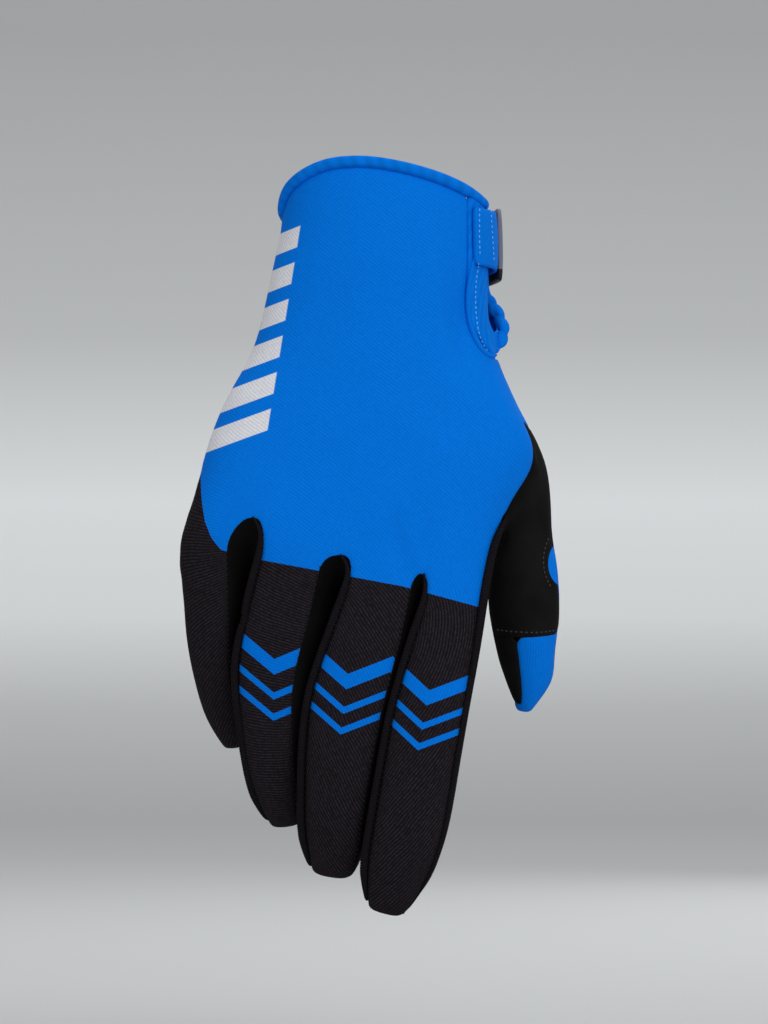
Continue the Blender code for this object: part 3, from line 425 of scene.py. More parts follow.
def slanting_rib_group():
    """Fine slanting ribs of a stretch weave, each made of small knots, with the odd uneven course."""
    group, given, made = new_group(
        "slanting rib",
        [
            ("Cloth", "NodeSocketVector", None),
            ("Pitch", "NodeSocketFloat", RIB_PITCH),
            ("Slant", "NodeSocketFloat", RIB_SLANT),
        ],
        [("Rib", "NodeSocketFloat"), ("Knot", "NodeSocketFloat"), ("Cloud", "NodeSocketFloat")],
    )
    parts = add_node(group, "ShaderNodeSeparateXYZ", {0: given["Cloth"]}).outputs
    sine = sum_of(group, "SINE", given["Slant"])
    cosine = sum_of(group, "COSINE", given["Slant"])
    across = total(group, product(group, parts[0], sine), product(group, parts[1], cosine))
    along = difference(group, product(group, parts[0], cosine), product(group, parts[1], sine))
    cloth = given["Cloth"]
    sway = add_node(group, "ShaderNodeTexNoise", {"Vector": cloth, "Scale": SWAY_SCALE, "Detail": 2.0})
    even_turns = sum_of(group, "DIVIDE", across, given["Pitch"])
    turns = sum_of(group, "MULTIPLY_ADD", sway.outputs[0], RIB_SWAY, even_turns)
    wave = sum_of(group, "SINE", product(group, turns, 2 * math.pi))
    group.links.new(sum_of(group, "MULTIPLY_ADD", wave, 0.5, 0.5), made["Rib"])
    steps = sum_of(group, "DIVIDE", along, product(group, given["Pitch"], KNOT_LENGTH))
    grid = add_node(group, "ShaderNodeCombineXYZ", {0: turns, 1: steps}).outputs[0]
    knots = add_node(group, "ShaderNodeTexVoronoi", {"Vector": grid, "Scale": 1.0, "Randomness": 0.65})
    group.links.new(sum_of(group, "SUBTRACT", 1.0, knots.outputs["Distance"], clamp=True), made["Knot"])
    cloud = add_node(group, "ShaderNodeTexNoise", {"Vector": cloth, "Scale": CLOUD_SCALE, "Detail": 3.0})
    group.links.new(cloud.outputs[0], made["Cloud"])
    return group


KNUCKLE_LINE = [
    (-0.0650, -0.0760),
    (-0.0564, -0.0765),
    (-0.0559, -0.0865),
    (-0.0548, -0.0935),
    (-0.0528, -0.0985),
    (-0.0500, -0.1020),
    (-0.0440, -0.1040),
    (-0.0240, -0.1077),
    (0.0050, -0.1131),
    (0.0290, -0.1196),
    (0.0400, -0.1230),
]
LINE_LOW = -0.065
LINE_SPAN = 0.105
LINE_FLOOR = -0.130
LINE_TALL = 0.060


def knuckle_print_group():
    """Where the back's dark dye begins: a line over the knuckles that turns up the little finger's side."""
    group, parts, made = place_group("knuckle print", "Dark")
    line = add_node(group, "ShaderNodeFloatCurve")
    line.inputs["Value"].default_value = 0.0
    share = sum_of(group, "DIVIDE", difference(group, parts[0], LINE_LOW), LINE_SPAN)
    group.links.new(share, line.inputs["Value"])
    curve = line.mapping.curves[0]
    places = [((x - LINE_LOW) / LINE_SPAN, (z - LINE_FLOOR) / LINE_TALL) for x, z in KNUCKLE_LINE]
    curve.points[0].location, curve.points[1].location = places[0], places[-1]
    for place in places[1:-1]:
        curve.points.new(*place)
    for point in curve.points:
        point.handle_type = "VECTOR"
    line.mapping.update()
    height = sum_of(group, "MULTIPLY_ADD", line.outputs[0], LINE_TALL, LINE_FLOOR)
    group.links.new(inside(group, height, parts[2]), made["Dark"])
    return group


BARS_FROM = (-0.0314, -0.0064)
BARS_DOWN = (-0.208, -0.978)
BARS_SLANT = 0.62
BARS_START = -0.0022
BARS_END = 0.0665
BAR_PITCH = 0.0116
BAR_SHIFT = 0.0023
BAR_MIDDLE = 0.42
BAR_HALF = 0.295
BAR_SHARP = 55.0
BARS_WIDTH = 0.0052
BARS_WIDEN = 0.050


def slant_bars_group():
    """A ladder of slanting bars down the little finger's side of the back, with a straight inner edge."""
    group, parts, made = place_group("slant bars", "Bar")
    x = difference(group, parts[0], BARS_FROM[0])
    z = difference(group, parts[2], BARS_FROM[1])
    down = total(group, product(group, x, BARS_DOWN[0]), product(group, z, BARS_DOWN[1]))
    aside = total(group, product(group, x, -BARS_DOWN[1]), product(group, z, BARS_DOWN[0]))
    slid = sum_of(group, "MULTIPLY_ADD", aside, BARS_SLANT, down)
    phase = sum_of(group, "FRACT", sum_of(group, "DIVIDE", total(group, slid, BAR_SHIFT), BAR_PITCH))
    off_middle = sum_of(group, "ABSOLUTE", difference(group, phase, BAR_MIDDLE))
    bar = inside(group, BAR_HALF, off_middle, BAR_SHARP)
    limit = sum_of(group, "MULTIPLY_ADD", down, BARS_WIDEN, BARS_WIDTH)
    ends = product(group, inside(group, slid, BARS_START), inside(group, BARS_END, slid))
    group.links.new(product(group, product(group, bar, inside(group, limit, aside)), ends), made["Bar"])
    return group


CHEVRON_LINES = [(-0.0340, 0.02), (-0.0125, 0.12), (0.0125, 0.19)]
CHEVRON_BARS = [(-0.1445, 0.0024), (-0.1535, 0.0011), (-0.1600, 0.0011)]
CHEVRON_HEIGHT = -0.150
CHEVRON_TILT = 0.20
CHEVRON_SLANT = 0.62
CHEVRONS_FROM = -0.0455


def chevrons_group():
    """One wide and two narrow chevrons across the back of each of three fingers."""
    group, parts, made = place_group("chevrons", "Bar")
    aside = None
    for middle, lean in CHEVRON_LINES:
        line = sum_of(group, "MULTIPLY_ADD", difference(group, parts[2], CHEVRON_HEIGHT), lean, middle)
        away = sum_of(group, "ABSOLUTE", difference(group, parts[0], line))
        aside = away if aside is None else sum_of(group, "MINIMUM", aside, away)
    level = sum_of(group, "MULTIPLY_ADD", parts[0], CHEVRON_TILT, parts[2])
    rise = sum_of(group, "MULTIPLY_ADD", aside, -CHEVRON_SLANT, level)
    bars = None
    for height, half in CHEVRON_BARS:
        bar = inside(group, half, sum_of(group, "ABSOLUTE", difference(group, rise, height)))
        bars = bar if bars is None else sum_of(group, "MAXIMUM", bars, bar)
    group.links.new(product(group, bars, inside(group, parts[0], CHEVRONS_FROM)), made["Bar"])
    return group


SCALLOP_MIDDLE = (0.0551, -0.1063)
SCALLOP_HALF = (0.0052, 0.0072)
SCALLOP_SHARP = 14.0
HEM_HEIGHT = -0.1268
HEM_DEEP = 0.0155


def scallop_group():
    """The thumb above its patch's hem: 1 inside the scalloped cut-out that shows the blue cloth below."""
    group, parts, made = place_group("scallop", "Open", "Edge")
    across = sum_of(group, "DIVIDE", difference(group, parts[0], SCALLOP_MIDDLE[0]), SCALLOP_HALF[0])
    down = sum_of(group, "DIVIDE", difference(group, parts[2], SCALLOP_MIDDLE[1]), SCALLOP_HALF[1])
    squares = total(group, product(group, across, across), product(group, down, down))
    group.links.new(inside(group, 1.0, squares, SCALLOP_SHARP), made["Open"])
    above = inside(group, parts[2], HEM_HEIGHT, SUEDE_EDGE_SHARP)
    near = inside(group, HEM_DEEP, parts[1], SUEDE_EDGE_SHARP)
    group.links.new(product(group, above, near), made["Edge"])
    return group


slanting_rib = slanting_rib_group()
scallop = scallop_group()
knuckle_print = knuckle_print_group()
slant_bars = slant_bars_group()
chevrons = chevrons_group()


def ribbed_cloth(name, dye_and_shade):
    """Ribbed stretch cloth. A function gives its colour and how much its threads are flecked: a dye, and on
    the rolls charcoal darkened with painted shade.
    """
    look, tree, shader = new_look(name, CLOTH_ROUGHNESS, CLOTH_SPECULAR)
    place = add_node(tree, "ShaderNodeTexCoord").outputs
    rib = add_node(tree, "ShaderNodeGroup", {"Cloth": place["UV"]}, node_tree=slanting_rib).outputs
    colour, flecks = dye_and_shade(tree, place["Object"])
    tone = sum_of(tree, "MULTIPLY_ADD", rib["Rib"], RIB_TONE, BASE_TONE)
    tone = sum_of(tree, "MULTIPLY_ADD", rib["Knot"], KNOT_TONE, tone)
    tone = sum_of(tree, "MULTIPLY_ADD", rib["Cloud"], CLOUD_TONE, difference(tree, tone, CLOUD_MIDDLE))
    light = product(tree, rib["Rib"], rib["Knot"])
    light = product(tree, difference(tree, light, FLECK_MIDDLE), flecks)
    tone = sum_of(tree, "MULTIPLY_ADD", light, FLECK_TONE, tone)
    shade = add_node(tree, "ShaderNodeVectorMath", {0: colour, "Scale": tone}, operation="SCALE").outputs[0]
    tree.links.new(shade, shader.inputs["Base Color"])
    height = sum_of(tree, "MULTIPLY_ADD", rib["Knot"], KNOT_HEIGHT, rib["Rib"])
    bump = add_node(tree, "ShaderNodeBump", {"Height": height, "Strength": 0.55, "Distance": RIB_DEPTH})
    tree.links.new(bump.outputs[0], shader.inputs["Normal"])
    return look


def back_dyes(tree, place):
    """Blue to the knuckles and charcoal below, with white bars above and blue chevrons on the fingers."""
    prints = (knuckle_print, chevrons, slant_bars)
    below, chevron, bar = (masks_of(tree, group, place)[0] for group in prints)
    charcoal = product(tree, below, difference(tree, 1.0, chevron))
    return blended(tree, bar, blended(tree, charcoal, BLUE, CHARCOAL), WHITE), charcoal


def blue_dye(tree, place):
    """Plain blue with a slow drift in its depth."""
    drift = add_node(tree, "ShaderNodeTexNoise", {"Vector": place, "Scale": DRIFT_SCALE}).outputs[0]
    return blended(tree, drift, BLUE, BLUE_DEEP), 0.0


SUEDE = (0.0048, 0.0048, 0.0052, 1)


def thumb_dyes(tree, place):
    """Blue, but for the strip beside the patch, which the patch's edge darkens."""
    mask = masks_of(tree, scallop, place)
    covered = product(tree, mask["Edge"], difference(tree, 1.0, mask["Open"]))
    return blended(tree, covered, blue_dye(tree, place)[0], SUEDE), 0.0


back.data.materials.append(ribbed_cloth("printed_stretch_cloth", back_dyes))
thumb_cloth = sewn_panel("thumb_back", "thumb_outer_side", cloth_walls)
thumb_cloth.data.materials.append(ribbed_cloth("blue_stretch_cloth", thumb_dyes))

# The palm, the inner side of the thumb and the patch over its back are black suede, a microfibre with a
# short nap that brushes lighter and darker. A scalloped hole in the patch shows the blue cloth below.
SUEDE_BRUSHED = (0.0105, 0.0105, 0.0112, 1)
SUEDE_FIBRE = 0.00045
SUEDE_ROUGHNESS = 0.95
SUEDE_DEPTH = 0.00008
NAP_SPECULAR = 0.05
BRUSHED_SCALE = 70.0
BRUSHED_SPREAD = 2.4
BRUSHED_START = -0.7
FIBRE_SHARE = 0.7
BRUSHED_MIDDLE = 0.45


def nap_group():
    """Short nap: fine fibres, and slow patches where it has been brushed the other way."""
    group, given, made = new_group(
        "nap",
        [("Place", "NodeSocketVector", None), ("Fibre", "NodeSocketFloat", 0.0004)],
        [("Fibres", "NodeSocketFloat"), ("Brushed", "NodeSocketFloat")],
    )
    scale = sum_of(group, "DIVIDE", 1.0, given["Fibre"])
    place = given["Place"]
    fibre_noise = {"Vector": place, "Scale": scale, "Detail": 3.0, "Roughness": 0.7}
    group.links.new(add_node(group, "ShaderNodeTexNoise", fibre_noise).outputs[0], made["Fibres"])
    slow_noise = {"Vector": place, "Scale": BRUSHED_SCALE, "Detail": 4.0, "Distortion": 0.6}
    slow = add_node(group, "ShaderNodeTexNoise", slow_noise)
    brushed = sum_of(group, "MULTIPLY_ADD", slow.outputs[0], BRUSHED_SPREAD, BRUSHED_START, clamp=True)
    group.links.new(brushed, made["Brushed"])
    return group


nap = nap_group()


def napped(name, base, brushed, fibre, roughness, depth, sheen=0.0):
    """Suede, pile or smooth knit: its nap's two colours, the size of its fibres and how deep they stand."""
    look, tree, shader = new_look(name, roughness, NAP_SPECULAR)
    shader.inputs["Sheen Weight"].default_value = sheen
    shader.inputs["Sheen Roughness"].default_value = 0.55
    place = add_node(tree, "ShaderNodeTexCoord").outputs["Object"]
    fuzz = add_node(tree, "ShaderNodeGroup", {"Place": place, "Fibre": fibre}, node_tree=nap).outputs
    slow = difference(tree, fuzz["Brushed"], BRUSHED_MIDDLE)
    share = sum_of(tree, "MULTIPLY_ADD", fuzz["Fibres"], FIBRE_SHARE, slow, clamp=True)
    tree.links.new(blended(tree, share, base, brushed), shader.inputs["Base Color"])
    bump = add_node(tree, "ShaderNodeBump", {"Height": fuzz["Fibres"], "Strength": 0.6, "Distance": depth})
    tree.links.new(bump.outputs[0], shader.inputs["Normal"])
    return look


black_suede, patch_suede = (
    napped(name, SUEDE, SUEDE_BRUSHED, SUEDE_FIBRE, SUEDE_ROUGHNESS, SUEDE_DEPTH)
    for name in ("black_suede", "scalloped_suede")
)
palm = sewn_panel("palm_panel", "suede_palm", cloth_walls)
thumb_inner = sewn_panel("thumb_front", "thumb_inner_side", cloth_walls)
patch = sewn_panel("thumb_patch", "thumb_patch_suede", cloth_walls)
palm.data.materials.append(black_suede)
thumb_inner.data.materials.append(black_suede)
patch_tree = patch_suede.node_tree
patch_colour = patch_tree.nodes["Principled BSDF"].inputs["Base Color"]
patch_place = add_node(patch_tree, "ShaderNodeTexCoord").outputs["Object"]
patch_open = masks_of(patch_tree, scallop, patch_place)["Open"]
patch_tree.links.new(blended(patch_tree, patch_open, patch_colour.links[0].from_socket, BLUE), patch_colour)
patch.data.materials.append(patch_suede)

# The strips between the fingers are smooth black stretch cloth, finer and flatter than the back's. Each runs
# up one finger's side, round the notch and down the next.
STRIP_BLACK = (0.0028, 0.0028, 0.0031, 1)
STRIP_SHEEN = (0.0058, 0.0058, 0.0064, 1)
strip_cloth = napped("smooth_stretch_cloth", STRIP_BLACK, STRIP_SHEEN, 0.00028, 0.85, 0.00003)
strips = {}
for near, far in (("little", "ring"), ("ring", "middle"), ("middle", "index")):
    strip = sewn_panel(f"fourchette_{near}_{far}", f"strip_{near}_{far}", cloth_walls)
    strip.data.materials.append(strip_cloth)
    strips[near, far] = strip

# A rolled edging of the same blue cloth is sewn round the wrist opening. The panels dip under it, so that a
# dark crease shows where it folds under.
EDGING_SWELL = 0.0009
EDGING_HALF = 0.0016
EDGING_DROP = 0.0005
EDGING_REACH = 0.0011
EDGING_CREASE = 0.6
CREASE_DEPTH = 0.0006
CREASE_REACH = 0.0022


def swell(piece, height, half):
    """Rounds a strip's outer side: it rises from its cut edges to a height at half its breadth."""
    sides = piece.data.attributes["side"].data
    faces = piece.data.polygons
    rim = [tuple(p.vertices) for p in faces if sides[p.index].value == 0]
    outer = {i for p in faces if sides[p.index].value == 1 for i in p.vertices}
    outer -= {i for face in rim for i in face}
    near = BVHTree.FromPolygons([v.co for v in piece.data.vertices], rim)
    rises = {}
    for i in outer:
        vertex = piece.data.vertices[i]
        share = 1 - min(1.0, near.find_nearest(vertex.co)[3] / half)
        rises[i] = vertex.normal * height * math.sqrt(1 - share * share)
    for i, rise in rises.items():
        piece.data.vertices[i].co += rise


cuff_cloth = ribbed_cloth("blue_edging_cloth", blue_dye)
cuff_edging = sewn_panel("cuff_binding", "cuff_edging", None, crease=EDGING_CREASE)
cuff_edging.data.materials.append(cuff_cloth)
swell(cuff_edging, EDGING_SWELL, EDGING_HALF)
panel_surface = tree_of(back, palm)
for vertex in cuff_edging.data.vertices:
    away = panel_surface.find_nearest(vertex.co, EDGING_REACH)[3]
    if away is not None:
        vertex.co.z -= EDGING_DROP * (1 - away / EDGING_REACH) ** 0.5
edging_surface = tree_of(cuff_edging)
for piece in (back, palm):
    for vertex in piece.data.vertices:
        away = edging_surface.find_nearest(vertex.co, CREASE_REACH)[3]
        if away is not None:
            inward = -Vector((vertex.co.x, vertex.co.y, 0)).normalized()
            vertex.co += inward * CREASE_DEPTH * (1 - away / CREASE_REACH)

# The slit at the wrist is edged with a broad strip of the same cloth, which flares on its far side.
slit_edging = sewn_panel("slit_binding", "slit_edging", None, crease=EDGING_CREASE)
slit_edging.data.materials.append(cuff_cloth)

# The strap that crosses the slit is a doubled band of the blue cloth, slightly padded between its edges.
STRAP_SWELL = 0.0003
STRAP_HALF = 0.003
strap = sewn_panel("closure_strap", "strap", None, crease=1.0)
strap.data.materials.append(cuff_cloth)
swell(strap, STRAP_SWELL, STRAP_HALF)

# The strap's pull tab is a grey plate of moulded rubber, coloured black along its lower edge. It
# closes on a pad of black loop pile that is sewn to the palm.
TAB_GREY = (0.165, 0.165, 0.215, 1)
TAB_BLACK = (0.006, 0.006, 0.007, 1)
BLACK_END_TOP = -0.0164
BLACK_END_SHARP = 5000.0
PILE_BLACK = (0.0062, 0.0062, 0.0066, 1)
PILE_LIGHT = (0.016, 0.016, 0.017, 1)


def tab_black_end_group():
    """The tab's colour mask: 1 below the height where it turns black."""
    group, parts, made = place_group("tab black end", "Black end")
    group.links.new(inside(group, BLACK_END_TOP, parts[2], BLACK_END_SHARP), made["Black end"])
    return group


tab_rubber, tab_tree, tab_shader = new_look("moulded_rubber", 0.5, 0.35)
tab_place = add_node(tab_tree, "ShaderNodeTexCoord").outputs["Object"]
black_end = masks_of(tab_tree, tab_black_end_group(), tab_place)["Black end"]
tab_tree.links.new(blended(tab_tree, black_end, TAB_GREY, TAB_BLACK), tab_shader.inputs["Base Color"])
tab = sewn_panel("closure_tab", "tab", None, crease=0.7)
tab.data.materials.append(tab_rubber)
pad = sewn_panel("closure_loop_pad", "loop_pad", None, crease=1.0)
pad.data.materials.append(napped("loop_pile", PILE_BLACK, PILE_LIGHT, 0.00035, 0.95, 0.0001, sheen=0.05))

# The panels are sewn edge to edge: their cut edges are drawn together, and a thin dark roll of cloth stands
# along the little finger's side of the three other fingers.
ROLL_RADIUS = 0.00115
ROLL_ENDS = (0.25, 7, 0.12, 6)
ROLL_ASIDE = Vector((-0.9, 0, 0))
ROLL_PROUD = 0.2
ROLL_SIDES = 12
ROLL_EVENS = 22
RIDGE_PITCH = 0.0009
RIDGE_STEPS = 6
RIDGE = 0.08
ROLL_HIDES = {"ring": 0.66, "middle": 1.0, "index": 1.0}
# Painted shade: the rolls' charcoal is a darker copy of the back's charcoal.
SHADED_ROLL_CHARCOAL = (0.0085, 0.0070, 0.0088)
ROLLED_FLECKS = 0.5
SEAM_REACH = 0.0014
SEAM_SHARE = 0.56
EDGE_REACH = 0.0007
EVEN_FIRST = 0.0012


def draw_in(pieces):
    """Pulls the cut edges of sewn panels together so that they meet at their seams."""
    trees = {piece: tree_of(piece) for piece in pieces}
    moved = {}
    for piece in pieces:
        sides = piece.data.attributes["side"].data
        rim = {i for p in piece.data.polygons if sides[p.index].value == 0 for i in p.vertices}
        moved[piece] = {}
        for i in rim:
            at = piece.data.vertices[i].co
            hits = [tree.find_nearest(at, SEAM_REACH) for other, tree in trees.items() if other is not piece]
            hits = [hit for hit in hits if hit[0] is not None]
            if hits:
                moved[piece][i] = at.lerp(min(hits, key=lambda hit: hit[3])[0], SEAM_SHARE)
    for piece, places in moved.items():
        for i, place in places.items():
            piece.data.vertices[i].co = place


def seam_lines(node, neighbour):
    """The stretches of a panel's outer edge beside another, as lists of (point, normal), longest first."""
    mesh = bmesh.new()
    mesh.from_mesh(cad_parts[node].data)
    bmesh.ops.remove_doubles(mesh, verts=mesh.verts, dist=MERGE)
    mesh.normal_update()
    near = tree_of(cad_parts[neighbour])
    ways = through_wall(mesh)
    edge_of = [vertex for vertex in mesh.verts if near.find_nearest(vertex.co, EDGE_REACH)[0] is not None]
    edge_of = dict.fromkeys(vertex for vertex in edge_of if looks_out(vertex.co, ways[vertex], cloth_walls))
    lines = []
    while edge_of:
        links = {v: [e.other_vert(v) for e in v.link_edges if e.other_vert(v) in edge_of] for v in edge_of}
        start = next((vertex for vertex in edge_of if len(links[vertex]) == 1), next(iter(edge_of)))
        line = [start]
        edge_of.pop(start)
        while True:
            onward = [vertex for vertex in links[line[-1]] if vertex in edge_of]
            if not onward:
                break
            line.append(min(onward, key=lambda vertex: (vertex.co - line[-1].co).length))
            edge_of.pop(line[-1])
        if len(line) > 1:
            lines.append([(vertex.co.copy(), ways[vertex]) for vertex in line])
    mesh.free()
    return sorted(lines, key=len, reverse=True)


def set_out(points, step):
    """Rows of a point and its normal, set out again at even steps."""
    gone = np.concatenate([[0], np.cumsum(np.linalg.norm(np.diff(points[:, :3], axis=0), axis=1))])
    at = np.linspace(0, gone[-1], max(2, round(gone[-1] / step)) + 1)
    return np.array([np.interp(at, gone, points[:, k]) for k in range(6)]).T


def even(line, step, rounds=6):
    """The line smoothed and set out again at even steps."""
    points = set_out(np.array([[*point, *normal] for point, normal in line]), EVEN_FIRST)
    for _ in range(rounds):
        points[1:-1] = (points[:-2] + 2 * points[1:-1] + points[2:]) / 4
    return [(Vector(row[:3]), Vector(row[3:]).normalized()) for row in set_out(points, step)]


def run_at(line, i):
    """Which way a line runs at one of its points."""
    return (line[min(i + 1, len(line) - 1)][0] - line[max(i - 1, 0)][0]).normalized()


def split_at_top(line):
    """A seam up one finger and down the next, as its two arms: the lower in X first, each from the top."""
    top = max(range(len(line)), key=lambda i: line[i][0].z)
    arms = [line[: top + 1][::-1], line[top:]]
    return sorted(arms, key=lambda arm: sum(point.x for point, _ in arm) / len(arm))


def grid_piece(name, rows):
    """A grid primitive laid on rows of points, closed round, with its size in metres as its UV map."""
    bpy.ops.object.select_all(action="DESELECT")
    bpy.ops.mesh.primitive_grid_add(x_subdivisions=len(rows[0]) - 1, y_subdivisions=len(rows) - 1, size=1)
    piece = bpy.context.object
    piece.name = name
    piece.data.name = name
    points = [point for row in rows for point in row]
    for vertex, point in zip(piece.data.vertices, points):
        vertex.co = point
    middle = rows[len(rows) // 2]
    around = sum((a - b).length for a, b in zip(middle[:-1], middle[1:]))
    along = sum((a[0] - b[0]).length for a, b in zip(rows[:-1], rows[1:]))
    for loop in piece.data.uv_layers.active.data:
        loop.uv = (loop.uv[0] * around, loop.uv[1] * along)
    mesh = bmesh.new()
    mesh.from_mesh(piece.data)
    bmesh.ops.remove_doubles(mesh, verts=mesh.verts, dist=1e-6)
    bmesh.ops.holes_fill(mesh, edges=mesh.edges)
    bmesh.ops.recalc_face_normals(mesh, faces=mesh.faces)
    mesh.to_mesh(piece.data)
    mesh.free()
    bpy.ops.object.shade_smooth()
    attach(piece, "root")
    return piece


def ring_round(line, i, centre, sizes):
    """One closed row of points round a line, at a radius for each of its angles."""
    across = run_at(line, i).cross(line[i][1]).normalized()
    upright = across.cross(run_at(line, i)).normalized()
    return [centre + (across * math.cos(angle) + upright * math.sin(angle)) * size for angle, size in sizes]


def angles(count):
    """The angles of a closed row of points, the first again at its end."""
    return [2 * math.pi * (k % count) / count for k in range(count + 1)]


def tapered(t, ends):
    """The share of its full radius that a roll has: it thins out towards its first and its last end."""
    first, rise, last, fall = ends
    return min(1.0, first + rise * t, last + fall * (1 - t))


def roll(name, line, radius_at, offset_at, ridge=RIDGE):
    """A ridged roll of cloth along a line, with its radius and offset at each share of the line's length."""
    line = even(line, RIDGE_PITCH / RIDGE_STEPS, rounds=ROLL_EVENS)
    rows = []
    for i, (point, normal) in enumerate(line):
        t = i / (len(line) - 1)
        turn = 2 * math.pi * i / RIDGE_STEPS
        sizes = [(a, radius_at(t) * (1 + ridge * math.sin(turn + a))) for a in angles(ROLL_SIDES)]
        rows.append(ring_round(line, i, point + offset_at(t, normal), sizes))
    return grid_piece(name, rows)


def rolled_painted_shade(tree, place):
    """The back's charcoal, darkened with painted shade for the rolls."""
    return SHADED_ROLL_CHARCOAL, ROLLED_FLECKS


# Where the cloth lies slack it dips and rises: centre in X and Z, reach along and across, lean in degrees,
# and depth in mm. On the hand only the front dips, and on the fingers the whole panel.
PALM_DEEPER = 0.012
FINGERS_BELOW = -0.12
FOLDS = [
    (22.5, -33.0, 11.0, 2.6, 8.0, 0.95),
    (18.0, -31.0, 12.0, 3.0, 8.0, -0.35),
    (8.0, -99.0, 12.0, 2.2, 16.0, -0.65),
    (4.0, -101.0, 12.0, 2.4, 14.0, 0.55),
    (-19.5, -100.0, 10.0, 2.6, -6.0, 0.30),
    (-6.0, -62.0, 26.0, 9.0, 24.0, 0.45),
    (12.0, -72.0, 22.0, 8.0, -18.0, 0.40),
    (-30.0, -84.0, 16.0, 6.0, 12.0, 0.35),
    (-39.0, -150.0, 7.0, 5.0, 70.0, 0.30),
    (-14.0, -160.0, 7.0, 5.0, 75.0, 0.30),
    (14.0, -160.0, 8.0, 5.0, 60.0, 0.30),
    (-36.0, -172.0, 6.0, 4.0, 60.0, -0.25),
    (-12.0, -182.0, 6.0, 4.0, 70.0, -0.25),
    (10.0, -186.0, 7.0, 5.0, 65.0, -0.25),
]


def pressed(piece, folds):
    """Dips and swells a panel, both sides of its cloth together, at each fold."""
    for vertex in piece.data.vertices:
        depth = 0.0
        for x, z, along, across, lean, deep in folds:
            turn = math.radians(lean)
            right, down = vertex.co.x * 1000 - x, z - vertex.co.z * 1000
            run = down * math.cos(turn) + right * math.sin(turn)
            aside = right * math.cos(turn) - down * math.sin(turn)
            depth += deep * math.exp(-((run / along) ** 2) - (aside / across) ** 2)
        if vertex.co.y < PALM_DEEPER or vertex.co.z < FINGERS_BELOW:
            vertex.co.y += depth / 1000


# The thumb fills its cloth out towards the right: height, reach, where it begins in X and how far, in mm.
THUMB_SWELLS = [
    (-78.0, 13.0, 38.0, 1.5),
    (-92.0, 8.0, 42.0, 0.6),
    (-143.0, 7.0, 44.0, 1.0),
    (-127.0, 5.0, 46.0, 0.5),
]
SWELL_RAMP = 7.0


def filled_out(piece, swells):
    """Moves the thumb's right side out at each swell."""
    for vertex in piece.data.vertices:
        x, z = vertex.co.x * 1000, vertex.co.z * 1000
        for height, reach, start, far in swells:
            share = min(1.0, max(0.0, (x - start) / SWELL_RAMP))
            eased = share * share * (3 - 2 * share)
            vertex.co.x += far / 1000 * eased * math.exp(-(((z - height) / reach) ** 2))


sewn = [back, palm, thumb_cloth, thumb_inner, patch, *strips.values(), cuff_edging, slit_edging]
pressed(back, FOLDS)
for piece in (back, palm, thumb_cloth, thumb_inner, patch):
    filled_out(piece, THUMB_SWELLS)
draw_in(sewn)
# The rolls' cloth carries painted shade in its colour.
roll_cloth = ribbed_cloth("charcoal_rolled_cloth", rolled_painted_shade)
finger_seams = {}
for near, far in strips:
    arms = split_at_top(seam_lines("back_panel", f"fourchette_{near}_{far}")[0])
    finger_seams[near, "radial"], finger_seams[far, "ulnar"] = arms
for finger, hides in ROLL_HIDES.items():
    finger_roll = roll(
        f"{finger}_seam_roll",
        finger_seams[finger, "ulnar"],
        lambda t: ROLL_RADIUS * tapered(t, ROLL_ENDS),
        lambda t, normal: ROLL_ASIDE * ROLL_RADIUS * min(1.0, 6 * t, 5 * max(0.0, hides - t))
        + normal * ROLL_PROUD * ROLL_RADIUS,
    )
    finger_roll.data.materials.append(roll_cloth)

# The palm's edge is rolled too, from the thumb's root down the index finger's outer side.
EDGE_TOP = -0.0885
EDGE_INNER = 0.004
EDGE_RADIUS = 0.00125
EDGE_ENDS = (0.3, 12, 0.2, 6)
EDGE_ASIDE = Vector((0.55, 0, 0))
EDGE_PROUD = 0.25
EDGE_THINS = 0.5
palm_edges = [
    [(point, normal) for point, normal in line if point.z < EDGE_TOP and point.x > EDGE_INNER]
    for line in seam_lines("back_panel", "palm_panel")
]
palm_edge = sorted(max(palm_edges, key=len), key=lambda pair: -pair[0].z)
edge_roll = roll(
    "palm_edge_roll",
    palm_edge,
    lambda t: EDGE_RADIUS * tapered(t, EDGE_ENDS) * (1 - EDGE_THINS * t),
    lambda t, normal: (EDGE_ASIDE + normal * EDGE_PROUD) * EDGE_RADIUS * (1 - t),
)
edge_roll.data.materials.append(roll_cloth)

# The seams are run with thread: black beside the fingers' seams, grey-brown on the thumb's patch, and light
# blue round the slit and on the strap. A stitch is one small stretched ball, copied along its line.
STITCH_LENGTH = 0.0010
STITCH_RADIUS = 0.00021
STITCH_FLAT = 0.8
STITCH_PROUD = 0.35
STITCH_SIDES = 8
STITCH_RINGS = 5
FINGER_STITCHES_APART = 0.0019
STITCHES_INSET = {"radial": 0.0010, "ulnar": -0.0011}
BELOW_NOTCH = 0.001
BESIDE_STEP = 0.0006
BESIDE_LIFT = 0.0003
DROP_STEPS = 8
DROP_FROM = -0.2


def thread(name, colour):
    """Polyester thread: even, with a low gloss."""
    look, _, shader = new_look(name, 0.6, 0.3)
    shader.inputs["Base Color"].default_value = colour
    return look


def beside(line, surface, sideways):
    """The line moved over the surface, across its own run; plus is to the left looking along it."""
    line = even(line, BESIDE_STEP)
    moved = []
    for i, (point, normal) in enumerate(line):
        aim = point + normal.cross(run_at(line, i)).normalized() * sideways
        moved.append((surface.find_nearest(aim + normal * BESIDE_LIFT)[0], normal))
    return moved


